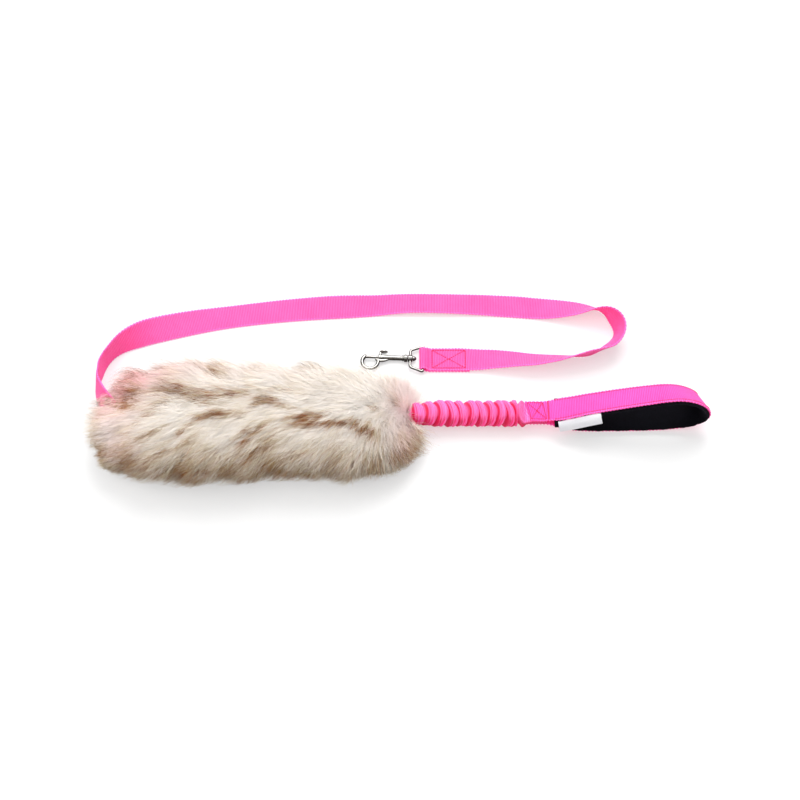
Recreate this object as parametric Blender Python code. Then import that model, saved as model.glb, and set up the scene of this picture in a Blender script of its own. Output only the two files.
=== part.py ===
# Tug leash: a fur tug on a bungee handle, with a flat webbing lead and a swivel bolt snap.
# Frame: metres, +Z up. The origin is the middle of the fur tug's flat underside.
# +X runs along the tug towards the handle, and +Y runs towards the lead's long upper run.

import math

import bmesh
import bpy
import numpy as np
from mathutils import Matrix, Vector

# Shared sizes
GAP = 0.0003
OVERRUN = 0.001

# Webbing of the lead and of the handle
WEB_WIDTH = 0.025
WEB_THICK = 0.0016
FOLD_WIDTH = 0.0204
FOLD_EASE = 0.0007

# Lead route from inside the tug to the snap: x, y, lift of the lower edge, and lean in degrees.
# The lean is 0 where the webbing lies flat, 90 where it stands on edge, and 180 once turned over.
LEAD_ROUTE = [
    (-0.080, -0.0010, 0.0185, 90), (-0.092, -0.0010, 0.0185, 90), (-0.105, -0.0008, 0.0185, 92),
    (-0.117, 0.0034, 0.0180, 102), (-0.128, 0.0125, 0.0160, 112), (-0.1365, 0.0220, 0.0135, 115),
    (-0.143, 0.0310, 0.0105, 114), (-0.148, 0.0405, 0.0070, 110), (-0.1508, 0.0495, 0.0040, 102),
    (-0.1505, 0.0580, 0.0010, 94), (-0.1495, 0.0670, 0, 90), (-0.1465, 0.0760, 0, 90),
    (-0.141, 0.0850, 0, 87), (-0.133, 0.0935, 0, 74), (-0.121, 0.1020, 0, 54), (-0.1045, 0.1105, 0, 32),
    (-0.071, 0.1210, 0, 14), (-0.038, 0.1285, 0, 3), (0.008, 0.1348, 0, 4), (0.047, 0.1380, 0, 8),
    (0.070, 0.1395, 0, 7), (0.098, 0.1418, 0, -1), (0.1275, 0.1432, 0, -8), (0.158, 0.1430, 0, -8),
    (0.198, 0.1420, 0, -3), (0.230, 0.1400, 0, 1), (0.258, 0.1372, 0, -6), (0.281, 0.1348, 0, -24),
    (0.291, 0.1333, 0, -36), (0.300, 0.1315, 0, -51), (0.3075, 0.1287, 0, -68), (0.3140, 0.1245, 0, -88),
    (0.3192, 0.1185, 0, -101), (0.3218, 0.1112, 0, -107), (0.3210, 0.1035, 0, -113),
    (0.3167, 0.0962, 0, -120), (0.3100, 0.0902, 0, -123), (0.3020, 0.0855, 0, -114),
    (0.292, 0.0822, 0, -110), (0.280, 0.0800, 0, -118), (0.266, 0.0787, 0, -131), (0.255, 0.0782, 0, -138),
    (0.244, 0.0780, 0, -145), (0.234, 0.0786, 0, -150), (0.224, 0.0796, 0, -156), (0.214, 0.0804, 0, -162),
    (0.2045, 0.0810, 0, -167), (0.195, 0.0812, 0, -172), (0.186, 0.0812, 0.0009, -176),
    (0.176, 0.0812, 0.0019, -180), (0.166, 0.0812, 0.0019, -180),
]
LEAD_STEPS = 2

# Eye and snap: the bar in the webbing fold carries everything to its left
BAR_X = 0.1413
BAR_Y = 0.0812
SNAP_TURN_DEG = -2.7
EYE_WIRE = 0.00125
EYE_BAR_HALF = 0.0135
EYE_BACK_HALF = 0.0088
EYE_LENGTH = 0.0120
EYE_CORNER = 0.0024
HUB_RADIUS = 0.0033
HUB_LENGTH = 0.0044

COLLAR_RADIUS = 0.00345
COLLAR_LENGTH = 0.0032
COLLAR_BEVEL = 0.0004
BARREL_RADIUS = 0.0025
BARREL_TAIL_RADIUS = 0.0022
BARREL_LENGTH = 0.0237
HOOK_RADIUS = 0.0073
HOOK_WIRE = 0.00125
HOOK_NOSE_WIRE = 0.0016
HOOK_SWELL_SHARE = 0.6
HOOK_OFFSET = 0.0049
HOOK_LEAD = 0.0070
HOOK_START_DEG = 22
HOOK_END_DEG = 242
GUSSET_LENGTH = 0.0105
GUSSET_THICK = 0.0022
GUSSET_HOOK_SHARE = 0.55
GUSSET_BEND_SHARE = 0.35
GUSSET_DEPTH_SHARE = 0.80
GUSSET_BARREL_SHARE = 0.60

RIVET_RADIUS = 0.0013
RIVET_HEAD_RADIUS = 0.0023
RIVET_HEAD_LENGTH = 0.0032
RIVET_SINK = 0.0026

BOLT_RADIUS = 0.0013
BOLT_WAY_RADIUS = 0.00165
BOLT_TRAVEL = 0.0080
BOLT_TAIL = 0.0055
BOLT_SEAT = 0.0008
STEM_LENGTH_X = 0.0022
STEM_WIDTH = 0.0016
STEM_SETBACK = 0.0021
KNOB_LENGTH = 0.0077
KNOB_HEIGHT = 0.0050
KNOB_THICK = 0.0018
KNOB_EDGE_SHARE = 0.72
KNOB_STAND = 0.0060
SLOT_WALL = 0.0007
SPRING_WIRE = 0.00024
SPRING_RADIUS = 0.00105
SPRING_COILS = 8
SPRING_SIDES = 6

# Seam threads
THREAD_THICK = 0.0003
THREAD_WIDTH = 0.0008
SNAP_SEAM_LENGTH = 0.0303
SNAP_SEAM_WIDTH = 0.0190
SNAP_SEAM_START = 0.0080
FOLD_TAIL = 0.0420
FOLD_RAMP = 0.0075

# Fur tug
FUR_LEFT = -0.145
FUR_RIGHT = 0.138
FUR_HALF_WIDTH = 0.056
FUR_HEIGHT = 0.067
FUR_POINTS = 30
FUR_RINGS = 34
# Stations of the fur's outline: place along the tug, sideways shift, half width and height,
# each as a share of the length, of the half width, of the half width and of the height.
FUR_SHARES = [
    (0.000, -0.02, 0.40, 0.44), (0.020, -0.02, 0.60, 0.63), (0.055, -0.02, 0.75, 0.79),
    (0.110, -0.01, 0.86, 0.89), (0.190, 0.01, 0.94, 0.96), (0.300, 0.02, 0.97, 0.98),
    (0.400, 0.02, 0.95, 0.98), (0.500, 0.03, 0.91, 0.97), (0.600, 0.04, 0.88, 0.95),
    (0.700, 0.04, 0.88, 0.95), (0.790, 0.03, 0.88, 0.92), (0.860, 0.04, 0.85, 0.85),
    (0.915, 0.06, 0.79, 0.76), (0.955, 0.11, 0.68, 0.66), (0.982, 0.17, 0.56, 0.56),
    (1.000, 0.21, 0.45, 0.48),
]
FUR_SQUARENESS = 2.3
FUR_LOW_SQUARENESS = 3.4
FUR_FOOT_LEVEL = 0.41
FUR_FOOT_SHARE = 0.80
SEAM_THREAD_RADIUS = 0.0006
SEAM_POINT = 27
SEAM_MARGIN = 3

# Inside of the tug
BORE_RADIUS = 0.0140
BORE_START = -0.0720
MOUTH_RADIUS = 0.0124
MOUTH_START = 0.0920
BORE_SIDES = 20
CORE_RADIUS = 0.0130
CORE_LEFT_SHARE = 0.90
CORE_RIGHT_SHARE = 0.85
CORE_CHANNEL = 0.0022
CORE_START = -0.066
CORE_END = 0.080
STRAP_WIDTH = 0.0150
STRAP_THICK = 0.0014
STRAP_START = -0.1000
STRAP_END = 0.1140
# Middle line of the core, from its left end to its right end: x, y and z.
CORE_LINE = [
    (-0.1100, -0.0010, 0.0310), (-0.0900, -0.0010, 0.0312), (-0.0660, -0.0010, 0.0312),
    (-0.0300, 0.0002, 0.0308), (0.0050, 0.0030, 0.0290), (0.0350, 0.0070, 0.0250),
    (0.0600, 0.0125, 0.0200), (0.0800, 0.0165, 0.0160),
    (0.0960, 0.0182, 0.0135), (0.1150, 0.0185, 0.0130),
]
LEAD_SLOT_CLEAR = 0.0006
ANCHOR_SEAM_LENGTH = 0.0130
ANCHOR_SEAM_WIDTH = 0.0110
ANCHOR_SEAM_INSET = 0.0040

# Bungee
BUNGEE_Y = 0.0185
BUNGEE_Z = 0.0130
CORD_RADIUS = 0.0046
CORD_SIDES = 12
CORD_START = 0.0960
SLEEVE_START = 0.1180
SLEEVE_RIB_START = 0.1385
SLEEVE_BORE = 0.0062
SLEEVE_CREST = 0.0130
SLEEVE_VALLEY = 0.0098
SLEEVE_SIDES = 16
RIB_COUNT = 10
RIB_PITCH_FIRST = 0.0092
RIB_PITCH_LAST = 0.0078
FLARE_LENGTH = 0.0060
FLARE_SHARES = (0.35, 0.70, 1.00)
FLARE_POWER = 0.8
TAIL_LENGTH = 0.0198
TAIL_WIDTH = 0.0195
TAIL_THICK = 0.0030
TAIL_SQUARENESS = 5.0
BINDING_THICK = 0.0011
BINDING_EASE = 0.0006
BINDING_LENGTH = 0.0100
BINDING_SETBACK = 4 * GAP
CRIMP_THICK = 0.0010
CRIMP_LENGTH = 0.0050

# Handle
HANDLE_Y = 0.0195
JOIN_LENGTH = 0.0205
JOIN_WIDTH = 0.0210
WIDTH_RAMP = 0.0140
JOIN_SHARES = [0.0, 0.40, 0.88]
LOOP_LENGTH = 0.1370
LOOP_SWAY = 0.0030
LOOP_HEIGHT = 0.0470
HANDLE_STEPS = 5
HANDLE_ROLL = -22
# Outer face of the loop, from the upper end at the join round to the lower end:
# shares of the loop's length and height, and of the sideways roll.
LOOP_SHARES = [
    (0.00, 0.300, 0.0), (0.12, 0.450, 0.3), (0.26, 0.620, 0.5), (0.445, 0.795, 0.6), (0.632, 0.935, 0.75),
    (0.735, 0.985, 0.9), (0.83, 0.960, 1.1), (0.917, 0.825, 1.2), (0.977, 0.638, 1.2), (1.00, 0.455, 1.15),
    (0.987, 0.300, 1.0), (0.938, 0.165, 0.6), (0.868, 0.075, 0.2), (0.79, 0.022, 0.0), (0.71, 0.004, 0.0),
    (0.64, 0.000, 0.0), (0.50, 0.000, 0.0), (0.32, 0.000, 0.0), (0.25, 0.008, 0.0), (0.17, 0.045, 0.0),
    (0.07, 0.150, 0.0), (0.00, 0.192, 0.0),
]
LINING_WIDTH = 0.0250
LINING_THICK = 0.0028
LINING_START = 0.0060
LINING_END = 0.0060
JOIN_SEAM_LENGTH = 0.0145
JOIN_SEAM_WIDTH = 0.0165
JOIN_SEAM_INSET = 0.0025
BAR_TACK_LENGTH = 0.0190
BAR_TACK_WIDTH = 0.0014
EDGE_SEAM_INSET = 0.0026
EDGE_SEAM_END = 0.1840
LABEL_LENGTH = 0.0385
LABEL_START = 0.0085
LABEL_FLANGE = 0.0050
LABEL_DROP = 0.0080
LABEL_THICK = 0.0006
LABEL_DROOP_DEG = 48
RECESS_EASE = 0.0006

PINK = "#FF4FAE"
PINK_THREAD = "#F22C84"
BLACK = "#0B0B12"


def srgb(code):
    """Turn an sRGB hex code into a linear RGBA colour."""
    out = []
    for k in (1, 3, 5):
        c = int(code[k:k + 2], 16) / 255
        out.append(c / 12.92 if c <= 0.04045 else ((c + 0.055) / 1.055) ** 2.4)
    return (*out, 1.0)


def material(name, code, roughness, metallic):
    """Make a Principled material."""
    mat = bpy.data.materials.new(name)
    mat.use_nodes = True
    shader = mat.node_tree.nodes["Principled BSDF"]
    shader.inputs["Base Color"].default_value = srgb(code)
    shader.inputs["Roughness"].default_value = roughness
    shader.inputs["Metallic"].default_value = metallic
    mat.diffuse_color = srgb(code)
    return mat


def clear_scene():
    """Remove every object of the open scene."""
    for obj in list(bpy.data.objects):
        bpy.data.objects.remove(obj, do_unlink=True)


def add_object(name, verts, faces, mat, smooth_deg=35):
    """Put a mesh into the scene as a named object with outward faces."""
    mesh = bpy.data.meshes.new(name)
    mesh.from_pydata([tuple(map(float, v)) for v in verts], [], [tuple(f) for f in faces])
    bm = bmesh.new()
    bm.from_mesh(mesh)
    bmesh.ops.recalc_face_normals(bm, faces=bm.faces)
    bm.to_mesh(mesh)
    bm.free()
    mesh.shade_smooth()
    mesh.set_sharp_from_angle(angle=math.radians(smooth_deg))
    obj = bpy.data.objects.new(name, mesh)
    bpy.context.collection.objects.link(obj)
    if mat is not None:
        mesh.materials.append(mat)
    return obj


def cutter(obj):
    """Mark an object as a helper of a Boolean."""
    obj.hide_render = True
    obj.display_type = "WIRE"
    return obj


def boolean(obj, other, operation):
    """Add an exact Boolean with a helper object."""
    mod = obj.modifiers.new(other.name, "BOOLEAN")
    mod.operation = operation
    mod.solver = "EXACT"
    mod.object = cutter(other)


def ring_mesh(rings, closed=False):
    """Join equal rings of points into a skin, capped at both ends or closed on itself."""
    count = len(rings)
    sides = len(rings[0])
    verts = [p for ring in rings for p in ring]
    faces = []
    spans = count if closed else count - 1
    for i in range(spans):
        a = i * sides
        b = ((i + 1) % count) * sides
        for j in range(sides):
            k = (j + 1) % sides
            faces.append((a + j, a + k, b + k, b + j))
    if not closed:
        faces.append(tuple(reversed(range(sides))))
        faces.append(tuple(range((count - 1) * sides, count * sides)))
    return verts, faces


def smooth_curve(points, steps):
    """Read a Catmull-Rom curve through the points, with a number of steps between each two."""
    p = np.array(points, float)
    p = np.vstack([2 * p[0] - p[1], p, 2 * p[-1] - p[-2]])
    out = []
    for i in range(1, len(p) - 2):
        for k in range(steps):
            u = k / steps
            out.append(0.5 * (2 * p[i] + (p[i + 1] - p[i - 1]) * u
                              + (2 * p[i - 1] - 5 * p[i] + 4 * p[i + 1] - p[i + 2]) * u ** 2
                              + (3 * p[i] - p[i - 1] - 3 * p[i + 1] + p[i + 2]) * u ** 3))
    out.append(p[-2])
    return np.array(out)


def unit(rows):
    """Scale each row to length one."""
    return rows / np.linalg.norm(rows, axis=1)[:, None]


def tangents(points):
    """Directions along a path."""
    return unit(np.gradient(points, axis=0))


def path_length(points):
    """Distance along a path at each of its points."""
    steps = np.linalg.norm(np.diff(points, axis=0), axis=1)
    return np.concatenate([[0], np.cumsum(steps)])


def self_gap(points, radius, apart):
    """Least clear distance between stretches of a tube that lie a number of points apart."""
    p = np.array(points)
    near = [np.linalg.norm(p[k + apart:] - p[k], axis=1).min() for k in range(len(p) - apart)]
    return min(near) - 2 * radius


def strap_rings(middle, across, normal, widths, thick, shift_n=0.0, shift_w=0.0):
    """Rectangles along a path: width along across, thickness along normal, each optionally shifted."""
    rings = []
    for p, w, n, width in zip(middle, across, normal, widths):
        c = p + shift_n * n + shift_w * w
        a = w * width / 2
        b = n * thick / 2
        rings.append([c - a - b, c + a - b, c + a + b, c - a + b])
    return rings


def cross_section(half_w, half_h, count, squareness):
    """Superellipse outline with its points spread by angle."""
    out = []
    for k in range(count):
        a = 2 * math.pi * k / count
        ca, sa = math.cos(a), math.sin(a)
        u = math.copysign(abs(ca) ** (2 / squareness), ca)
        v = math.copysign(abs(sa) ** (2 / squareness), sa)
        out.append((half_w * u, half_h * v))
    return out


def turned(name, profile, centre, mat, sides=20):
    """Turn a profile of (distance along X, radius) about an axis through centre along X."""
    rings = []
    for dx, r in profile:
        rings.append([(centre[0] + dx, centre[1] + r * math.cos(2 * math.pi * k / sides),
                       centre[2] + r * math.sin(2 * math.pi * k / sides)) for k in range(sides)])
    verts, faces = ring_mesh(rings)
    return add_object(name, verts, faces, mat)


def round_tube(name, points, radii, sides, mat, up=(0, 0, 1), closed=False):
    """Sweep circles along a path whose frames keep one side turned to up."""
    pts = np.array(points, float)
    if closed:
        t = unit(np.roll(pts, -1, axis=0) - np.roll(pts, 1, axis=0))
    else:
        t = tangents(pts)
    side = unit(np.cross(np.array(up, float), t))
    top = np.cross(t, side)
    rings = []
    for p, s, v, r in zip(pts, side, top, radii):
        rings.append([p + r * (math.cos(2 * math.pi * k / sides) * s + math.sin(2 * math.pi * k / sides) * v)
                      for k in range(sides)])
    verts, faces = ring_mesh(rings, closed)
    return add_object(name, verts, faces, mat)


def block(name, low, high, mat=None):
    """Box between two corners."""
    mesh = bpy.data.meshes.new(name)
    bm = bmesh.new()
    bmesh.ops.create_cube(bm, size=1)
    low, high = Vector(low), Vector(high)
    size = Matrix.Diagonal((high - low).to_4d())
    bmesh.ops.transform(bm, matrix=Matrix.Translation((low + high) / 2) @ size, verts=bm.verts)
    bm.to_mesh(mesh)
    bm.free()
    obj = bpy.data.objects.new(name, mesh)
    bpy.context.collection.objects.link(obj)
    if mat is not None:
        mesh.materials.append(mat)
    return obj


def seam_box(name, length, width, place, mat):
    """Box-X seam as one flat thread frame: a rectangle with both diagonals, placed by a function."""
    hl, hw, t = length / 2, width / 2, THREAD_WIDTH
    slope = math.hypot(length, width)
    reach_l = t * slope / width / 2
    reach_w = t * slope / length / 2
    windows = []
    for side in (1, -1):
        windows.append([(side * (hl - t), -(hw - t) + reach_w * 2), (side * (hl - t), (hw - t) - reach_w * 2),
                        (side * reach_l, 0)])
        windows.append([(-(hl - t) + reach_l * 2, side * (hw - t)), ((hl - t) - reach_l * 2, side * (hw - t)),
                        (0, side * reach_w)])
    frame = [(-hl, -hw), (hl, -hw), (hl, hw), (-hl, hw)]
    lower, upper = place(0.0), place(THREAD_THICK)
    verts, faces = ring_mesh([[lower(u, v) for u, v in frame], [upper(u, v) for u, v in frame]])
    obj = add_object(name, verts, faces, mat)
    below, above = place(-THREAD_THICK), place(2 * THREAD_THICK)
    for k, window in enumerate(windows):
        verts, faces = ring_mesh([[below(u, v) for u, v in window], [above(u, v) for u, v in window]])
        boolean(obj, add_object(f"{name}_window_{k}", verts, faces, None), "DIFFERENCE")
    return obj


def plane_place(origin, along, across):
    """Placing function of a flat seam: points at a given height over the plane."""
    o, a, b = Vector(origin), Vector(along).normalized(), Vector(across).normalized()
    n = a.cross(b)

    def at_height(height):
        return lambda u, v: tuple(o + a * u + b * v + n * height)

    return at_height


def lead_frames(route, steps):
    """Middle line, width direction and face normal of the leaning lead."""
    curve = smooth_curve(route, steps)
    lean = np.radians(curve[:, 3])
    lift = np.maximum(curve[:, 2], 0)
    z = WEB_WIDTH / 2 * np.abs(np.sin(lean)) + WEB_THICK / 2 * np.abs(np.cos(lean)) + lift
    middle = np.column_stack([curve[:, 0], curve[:, 1], z])
    along = tangents(middle)
    left = unit(np.cross(np.array([0.0, 0.0, 1.0]), along))
    over = np.cross(along, left)
    across = np.cos(lean)[:, None] * left + np.sin(lean)[:, None] * over
    return middle, across, np.cross(along, across)


def fold_path():
    """Teardrop of the webbing round the eye's bar, from the upper layer to the folded tail's end."""
    radius = EYE_WIRE + GAP + WEB_THICK / 2
    upper_z = 1.5 * WEB_THICK + GAP
    lower_z = WEB_THICK / 2
    near = BAR_X + FOLD_RAMP
    rows = [(near, upper_z), (near - FOLD_RAMP / 3, upper_z + WEB_THICK / 2),
            (near - FOLD_RAMP * 2 / 3, upper_z + WEB_THICK * 3 / 2)]
    for deg in (60, 90, 125, 160, 195, 230, 262):
        a = math.radians(deg)
        rows.append((BAR_X + (radius + FOLD_EASE) * math.cos(a), COLLAR_RADIUS + radius * math.sin(a)))
    rows += [(near - FOLD_RAMP * 2 / 3, lower_z), (near, lower_z), (BAR_X + FOLD_TAIL, lower_z)]
    return np.array([(x, BAR_Y, z) for x, z in rows])


def make_lead(mats):
    """The webbing lead: one strap from inside the tug to its fold round the eye."""
    middle, across, _ = lead_frames(LEAD_ROUTE, LEAD_STEPS)
    fold = fold_path()
    path = np.vstack([middle, fold])
    across = np.vstack([across, np.tile([0.0, 1.0, 0.0], (len(fold), 1))])
    normal = unit(np.cross(tangents(path), across))
    in_fold = (np.arange(len(path)) >= len(middle)) & (np.abs(path[:, 0] - BAR_X) < FOLD_RAMP / 2)
    widths = np.where(in_fold, FOLD_WIDTH, WEB_WIDTH)
    verts, faces = ring_mesh(strap_rings(path, across, normal, widths, WEB_THICK))
    add_object("lead_webbing", verts, faces, mats["webbing"])
    print(f"lead middle line {path_length(path)[-1]:.3f} m")


def make_snap_seam(mats):
    """Box-X seam that closes the lead's fold round the eye."""
    top = 2 * WEB_THICK + GAP
    middle_x = BAR_X + SNAP_SEAM_START + SNAP_SEAM_LENGTH / 2
    place = plane_place((middle_x, BAR_Y, top + GAP), (1, 0, 0), (0, 1, 0))
    seam_box("snap_end_stitching", SNAP_SEAM_LENGTH, SNAP_SEAM_WIDTH, place, mats["thread"])


def eye_outline():
    """Closed middle line of the D-shaped eye, with rounded corners."""
    hub_x = BAR_X - EYE_LENGTH
    corners = [(hub_x, -EYE_BACK_HALF), (BAR_X, -EYE_BAR_HALF), (BAR_X, EYE_BAR_HALF), (hub_x, EYE_BACK_HALF)]
    out = []
    for k, corner in enumerate(corners):
        c = Vector(corner)
        back = (Vector(corners[k - 1]) - c).normalized() * EYE_CORNER
        ahead = (Vector(corners[(k + 1) % 4]) - c).normalized() * EYE_CORNER
        for u in (0, 0.25, 0.5, 0.75, 1):
            p = c + back * (1 - u) ** 2 + ahead * u ** 2
            out.append((p.x, BAR_Y + p.y, COLLAR_RADIUS))
    return out


def make_eye(mats):
    """Swivel eye: a D-shaped wire with a bored hub."""
    outline = eye_outline()
    eye = round_tube("swivel_eye", outline, [EYE_WIRE] * len(outline), 10, mats["nickel"], closed=True)
    centre = (BAR_X - EYE_LENGTH, BAR_Y, COLLAR_RADIUS)
    half = HUB_LENGTH / 2
    bevel = HUB_LENGTH / 8
    hub = turned("eye_hub_form", [(-half, HUB_RADIUS - bevel), (-half + bevel, HUB_RADIUS),
                                  (half - bevel, HUB_RADIUS), (half, HUB_RADIUS - bevel)], centre, None)
    pin_hole = RIVET_RADIUS + GAP
    bore = turned("eye_bore_form", [(-half - OVERRUN, pin_hole), (half + OVERRUN, pin_hole)],
                  centre, None, sides=16)
    boolean(eye, hub, "UNION")
    boolean(eye, bore, "DIFFERENCE")


def snap_places():
    """X places of the snap, all carried by the eye's bar."""
    hub_face = BAR_X - EYE_LENGTH - HUB_LENGTH / 2
    collar_end = hub_face - GAP
    collar_start = collar_end - COLLAR_LENGTH
    mouth = collar_start - BARREL_LENGTH
    hook_x = mouth - HOOK_LEAD
    return {"hub_face": hub_face, "collar_end": collar_end, "collar_start": collar_start,
            "mouth": mouth, "hook_x": hook_x}


def hook_outline():
    """Open ring of the hook in the XY plane, from its root under the barrel to its nose."""
    hook_x = snap_places()["hook_x"]
    points, radii = [], []
    turns = 22
    for k in range(turns + 1):
        share = k / turns
        a = math.radians(HOOK_START_DEG - HOOK_END_DEG * share)
        points.append((hook_x + HOOK_RADIUS * math.cos(a), BAR_Y - HOOK_OFFSET + HOOK_RADIUS * math.sin(a),
                       COLLAR_RADIUS))
        swell = max(0.0, share - HOOK_SWELL_SHARE) / (1 - HOOK_SWELL_SHARE)
        radii.append(HOOK_WIRE + (HOOK_NOSE_WIRE - HOOK_WIRE) * swell)
    return points, radii


def make_snap_body(mats):
    """Cast snap body: hook, root, bored barrel and collar in one piece."""
    at = snap_places()
    centre = (at["mouth"], BAR_Y, COLLAR_RADIUS)
    barrel_end = BARREL_LENGTH
    total = BARREL_LENGTH + COLLAR_LENGTH
    body = turned("snap_body", [
        (0, BARREL_RADIUS - COLLAR_BEVEL), (COLLAR_BEVEL, BARREL_RADIUS), (barrel_end, BARREL_TAIL_RADIUS),
        (barrel_end, COLLAR_RADIUS - COLLAR_BEVEL), (barrel_end + COLLAR_BEVEL, COLLAR_RADIUS),
        (total - COLLAR_BEVEL, COLLAR_RADIUS), (total, COLLAR_RADIUS - COLLAR_BEVEL)], centre, mats["nickel"])
    points, radii = hook_outline()
    hook = round_tube("hook_form", points, radii, 10, None)
    boolean(body, hook, "UNION")
    barrel_y = BAR_Y - BARREL_RADIUS * GUSSET_BARREL_SHARE
    root = [(at["mouth"] - HOOK_WIRE, BAR_Y - HOOK_OFFSET * GUSSET_HOOK_SHARE),
            (at["mouth"] + GUSSET_LENGTH * GUSSET_BEND_SHARE, BAR_Y - HOOK_OFFSET * GUSSET_DEPTH_SHARE),
            (at["mouth"] + GUSSET_LENGTH, barrel_y), (at["mouth"] + COLLAR_BEVEL, barrel_y)]
    half = GUSSET_THICK / 2
    verts, faces = ring_mesh([[(x, y, COLLAR_RADIUS - half) for x, y in root],
                              [(x, y, COLLAR_RADIUS + half) for x, y in root]])
    boolean(body, add_object("gusset_form", verts, faces, None), "UNION")
    nose_reach = math.sqrt(HOOK_RADIUS ** 2 - HOOK_OFFSET ** 2)
    way_start = at["hook_x"] - nose_reach - BOLT_SEAT - at["mouth"]
    way_end = BARREL_LENGTH - BOLT_WAY_RADIUS
    way = turned("bolt_way_form", [(way_start, BOLT_WAY_RADIUS), (way_end, BOLT_WAY_RADIUS)], centre, None, 16)
    boolean(body, way, "DIFFERENCE")
    slot_start = at["mouth"] + SLOT_WALL
    slot_end = at["mouth"] + STEM_SETBACK + STEM_LENGTH_X / 2 + BOLT_TRAVEL + GAP
    half = STEM_WIDTH / 2 + GAP
    slot = block("thumb_slot_form", (slot_start, BAR_Y, COLLAR_RADIUS - half),
                 (slot_end, BAR_Y + BARREL_RADIUS + OVERRUN, COLLAR_RADIUS + half))
    boolean(body, slot, "DIFFERENCE")
    socket_start = total - RIVET_SINK
    pin_hole = RIVET_RADIUS + GAP
    socket = turned("rivet_socket_form", [(socket_start, pin_hole), (total + OVERRUN, pin_hole)], centre, None, 16)
    boolean(body, socket, "DIFFERENCE")


def make_rivet(mats):
    """Swivel rivet: its shank stands in the collar and its dome holds the eye's hub."""
    at = snap_places()
    start = at["collar_end"] - RIVET_SINK + GAP
    head = at["hub_face"] + HUB_LENGTH + GAP
    profile = [(0, RIVET_RADIUS), (head - start, RIVET_RADIUS)]
    for deg in (0, 30, 60, 80):
        a = math.radians(deg)
        profile.append((head - start + RIVET_HEAD_LENGTH * math.sin(a), RIVET_HEAD_RADIUS * math.cos(a)))
    turned("swivel_rivet", profile, (start, BAR_Y, COLLAR_RADIUS), mats["nickel"], 16)


def make_bolt(mats):
    """Sliding bolt, its thumb stem and pad, and the spring behind it."""
    at = snap_places()
    nose_reach = math.sqrt(HOOK_RADIUS ** 2 - HOOK_OFFSET ** 2)
    tip = at["hook_x"] - nose_reach - BOLT_SEAT + GAP
    tail = at["mouth"] + BOLT_TAIL
    bevel = BOLT_RADIUS / 4
    turned("bolt", [(0, BOLT_RADIUS - bevel), (bevel, BOLT_RADIUS), (tail - tip, BOLT_RADIUS)],
           (tip, BAR_Y, COLLAR_RADIUS), mats["nickel"], 16)
    stem_x = at["mouth"] + STEM_SETBACK
    half = STEM_WIDTH / 2
    stem_foot = BAR_Y + BOLT_RADIUS + GAP
    stem = block("thumb_knob", (stem_x - STEM_LENGTH_X / 2, stem_foot, COLLAR_RADIUS - half),
                 (stem_x + STEM_LENGTH_X / 2, BAR_Y + KNOB_STAND + KNOB_THICK / 2, COLLAR_RADIUS + half),
                 mats["nickel"])
    pad_x = stem_x - STEM_LENGTH_X / 2 + KNOB_LENGTH / 2
    rings = []
    for side, share in ((-1, KNOB_EDGE_SHARE), (-0.5, 1.0), (0.5, 1.0), (1, KNOB_EDGE_SHARE)):
        rings.append([(pad_x + u * share, BAR_Y + KNOB_STAND + KNOB_THICK * side / 2, COLLAR_RADIUS + v * share)
                      for u, v in cross_section(KNOB_LENGTH / 2, KNOB_HEIGHT / 2, 16, 2.0)])
    verts, faces = ring_mesh(rings)
    boolean(stem, add_object("thumb_pad_form", verts, faces, None), "UNION")
    spring_start = tail + GAP + SPRING_WIRE
    spring_end = at["mouth"] + BARREL_LENGTH - BOLT_WAY_RADIUS - GAP - SPRING_WIRE
    per_coil = 8
    count = SPRING_COILS * per_coil
    points = []
    for k in range(count + 1):
        a = 2 * math.pi * k / per_coil
        points.append((spring_start + (spring_end - spring_start) * k / count,
                       BAR_Y + SPRING_RADIUS * math.cos(a), COLLAR_RADIUS + SPRING_RADIUS * math.sin(a)))
    round_tube("bolt_spring", points, [SPRING_WIRE] * len(points), SPRING_SIDES, mats["steel"], up=(1, 0, 0))
    print(f"spring least gap to itself {1000 * self_gap(points, SPRING_WIRE, per_coil // 2):.2f} mm")


def fur_station(share):
    """Sideways shift, half width and height of the fur's outline at a share of its length."""
    table = np.array(FUR_SHARES)
    values = [np.interp(share, table[:, 0], table[:, k]) for k in (1, 2, 3)]
    return values[0] * FUR_HALF_WIDTH, values[1] * FUR_HALF_WIDTH, values[2] * FUR_HEIGHT


def fur_ring(share):
    """Cross-section of the fur body: round above, fuller below where the hair hangs, and flat where it lies."""
    shift, half_w, height = fur_station(share)
    x = FUR_LEFT + (FUR_RIGHT - FUR_LEFT) * share
    foot = half_w * FUR_FOOT_SHARE
    ring = []
    upper = cross_section(half_w, height / 2, FUR_POINTS, FUR_SQUARENESS)
    lower = cross_section(half_w, height / 2, FUR_POINTS, FUR_LOW_SQUARENESS)
    for high, low in zip(upper, lower):
        u, v = low if low[1] < 0 else high
        y, z = u, height / 2 + v
        if v < -FUR_FOOT_LEVEL * height:
            y = max(-foot, min(foot, y))
            z = 0.0
        ring.append((x, shift + y, z))
    return ring


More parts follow.
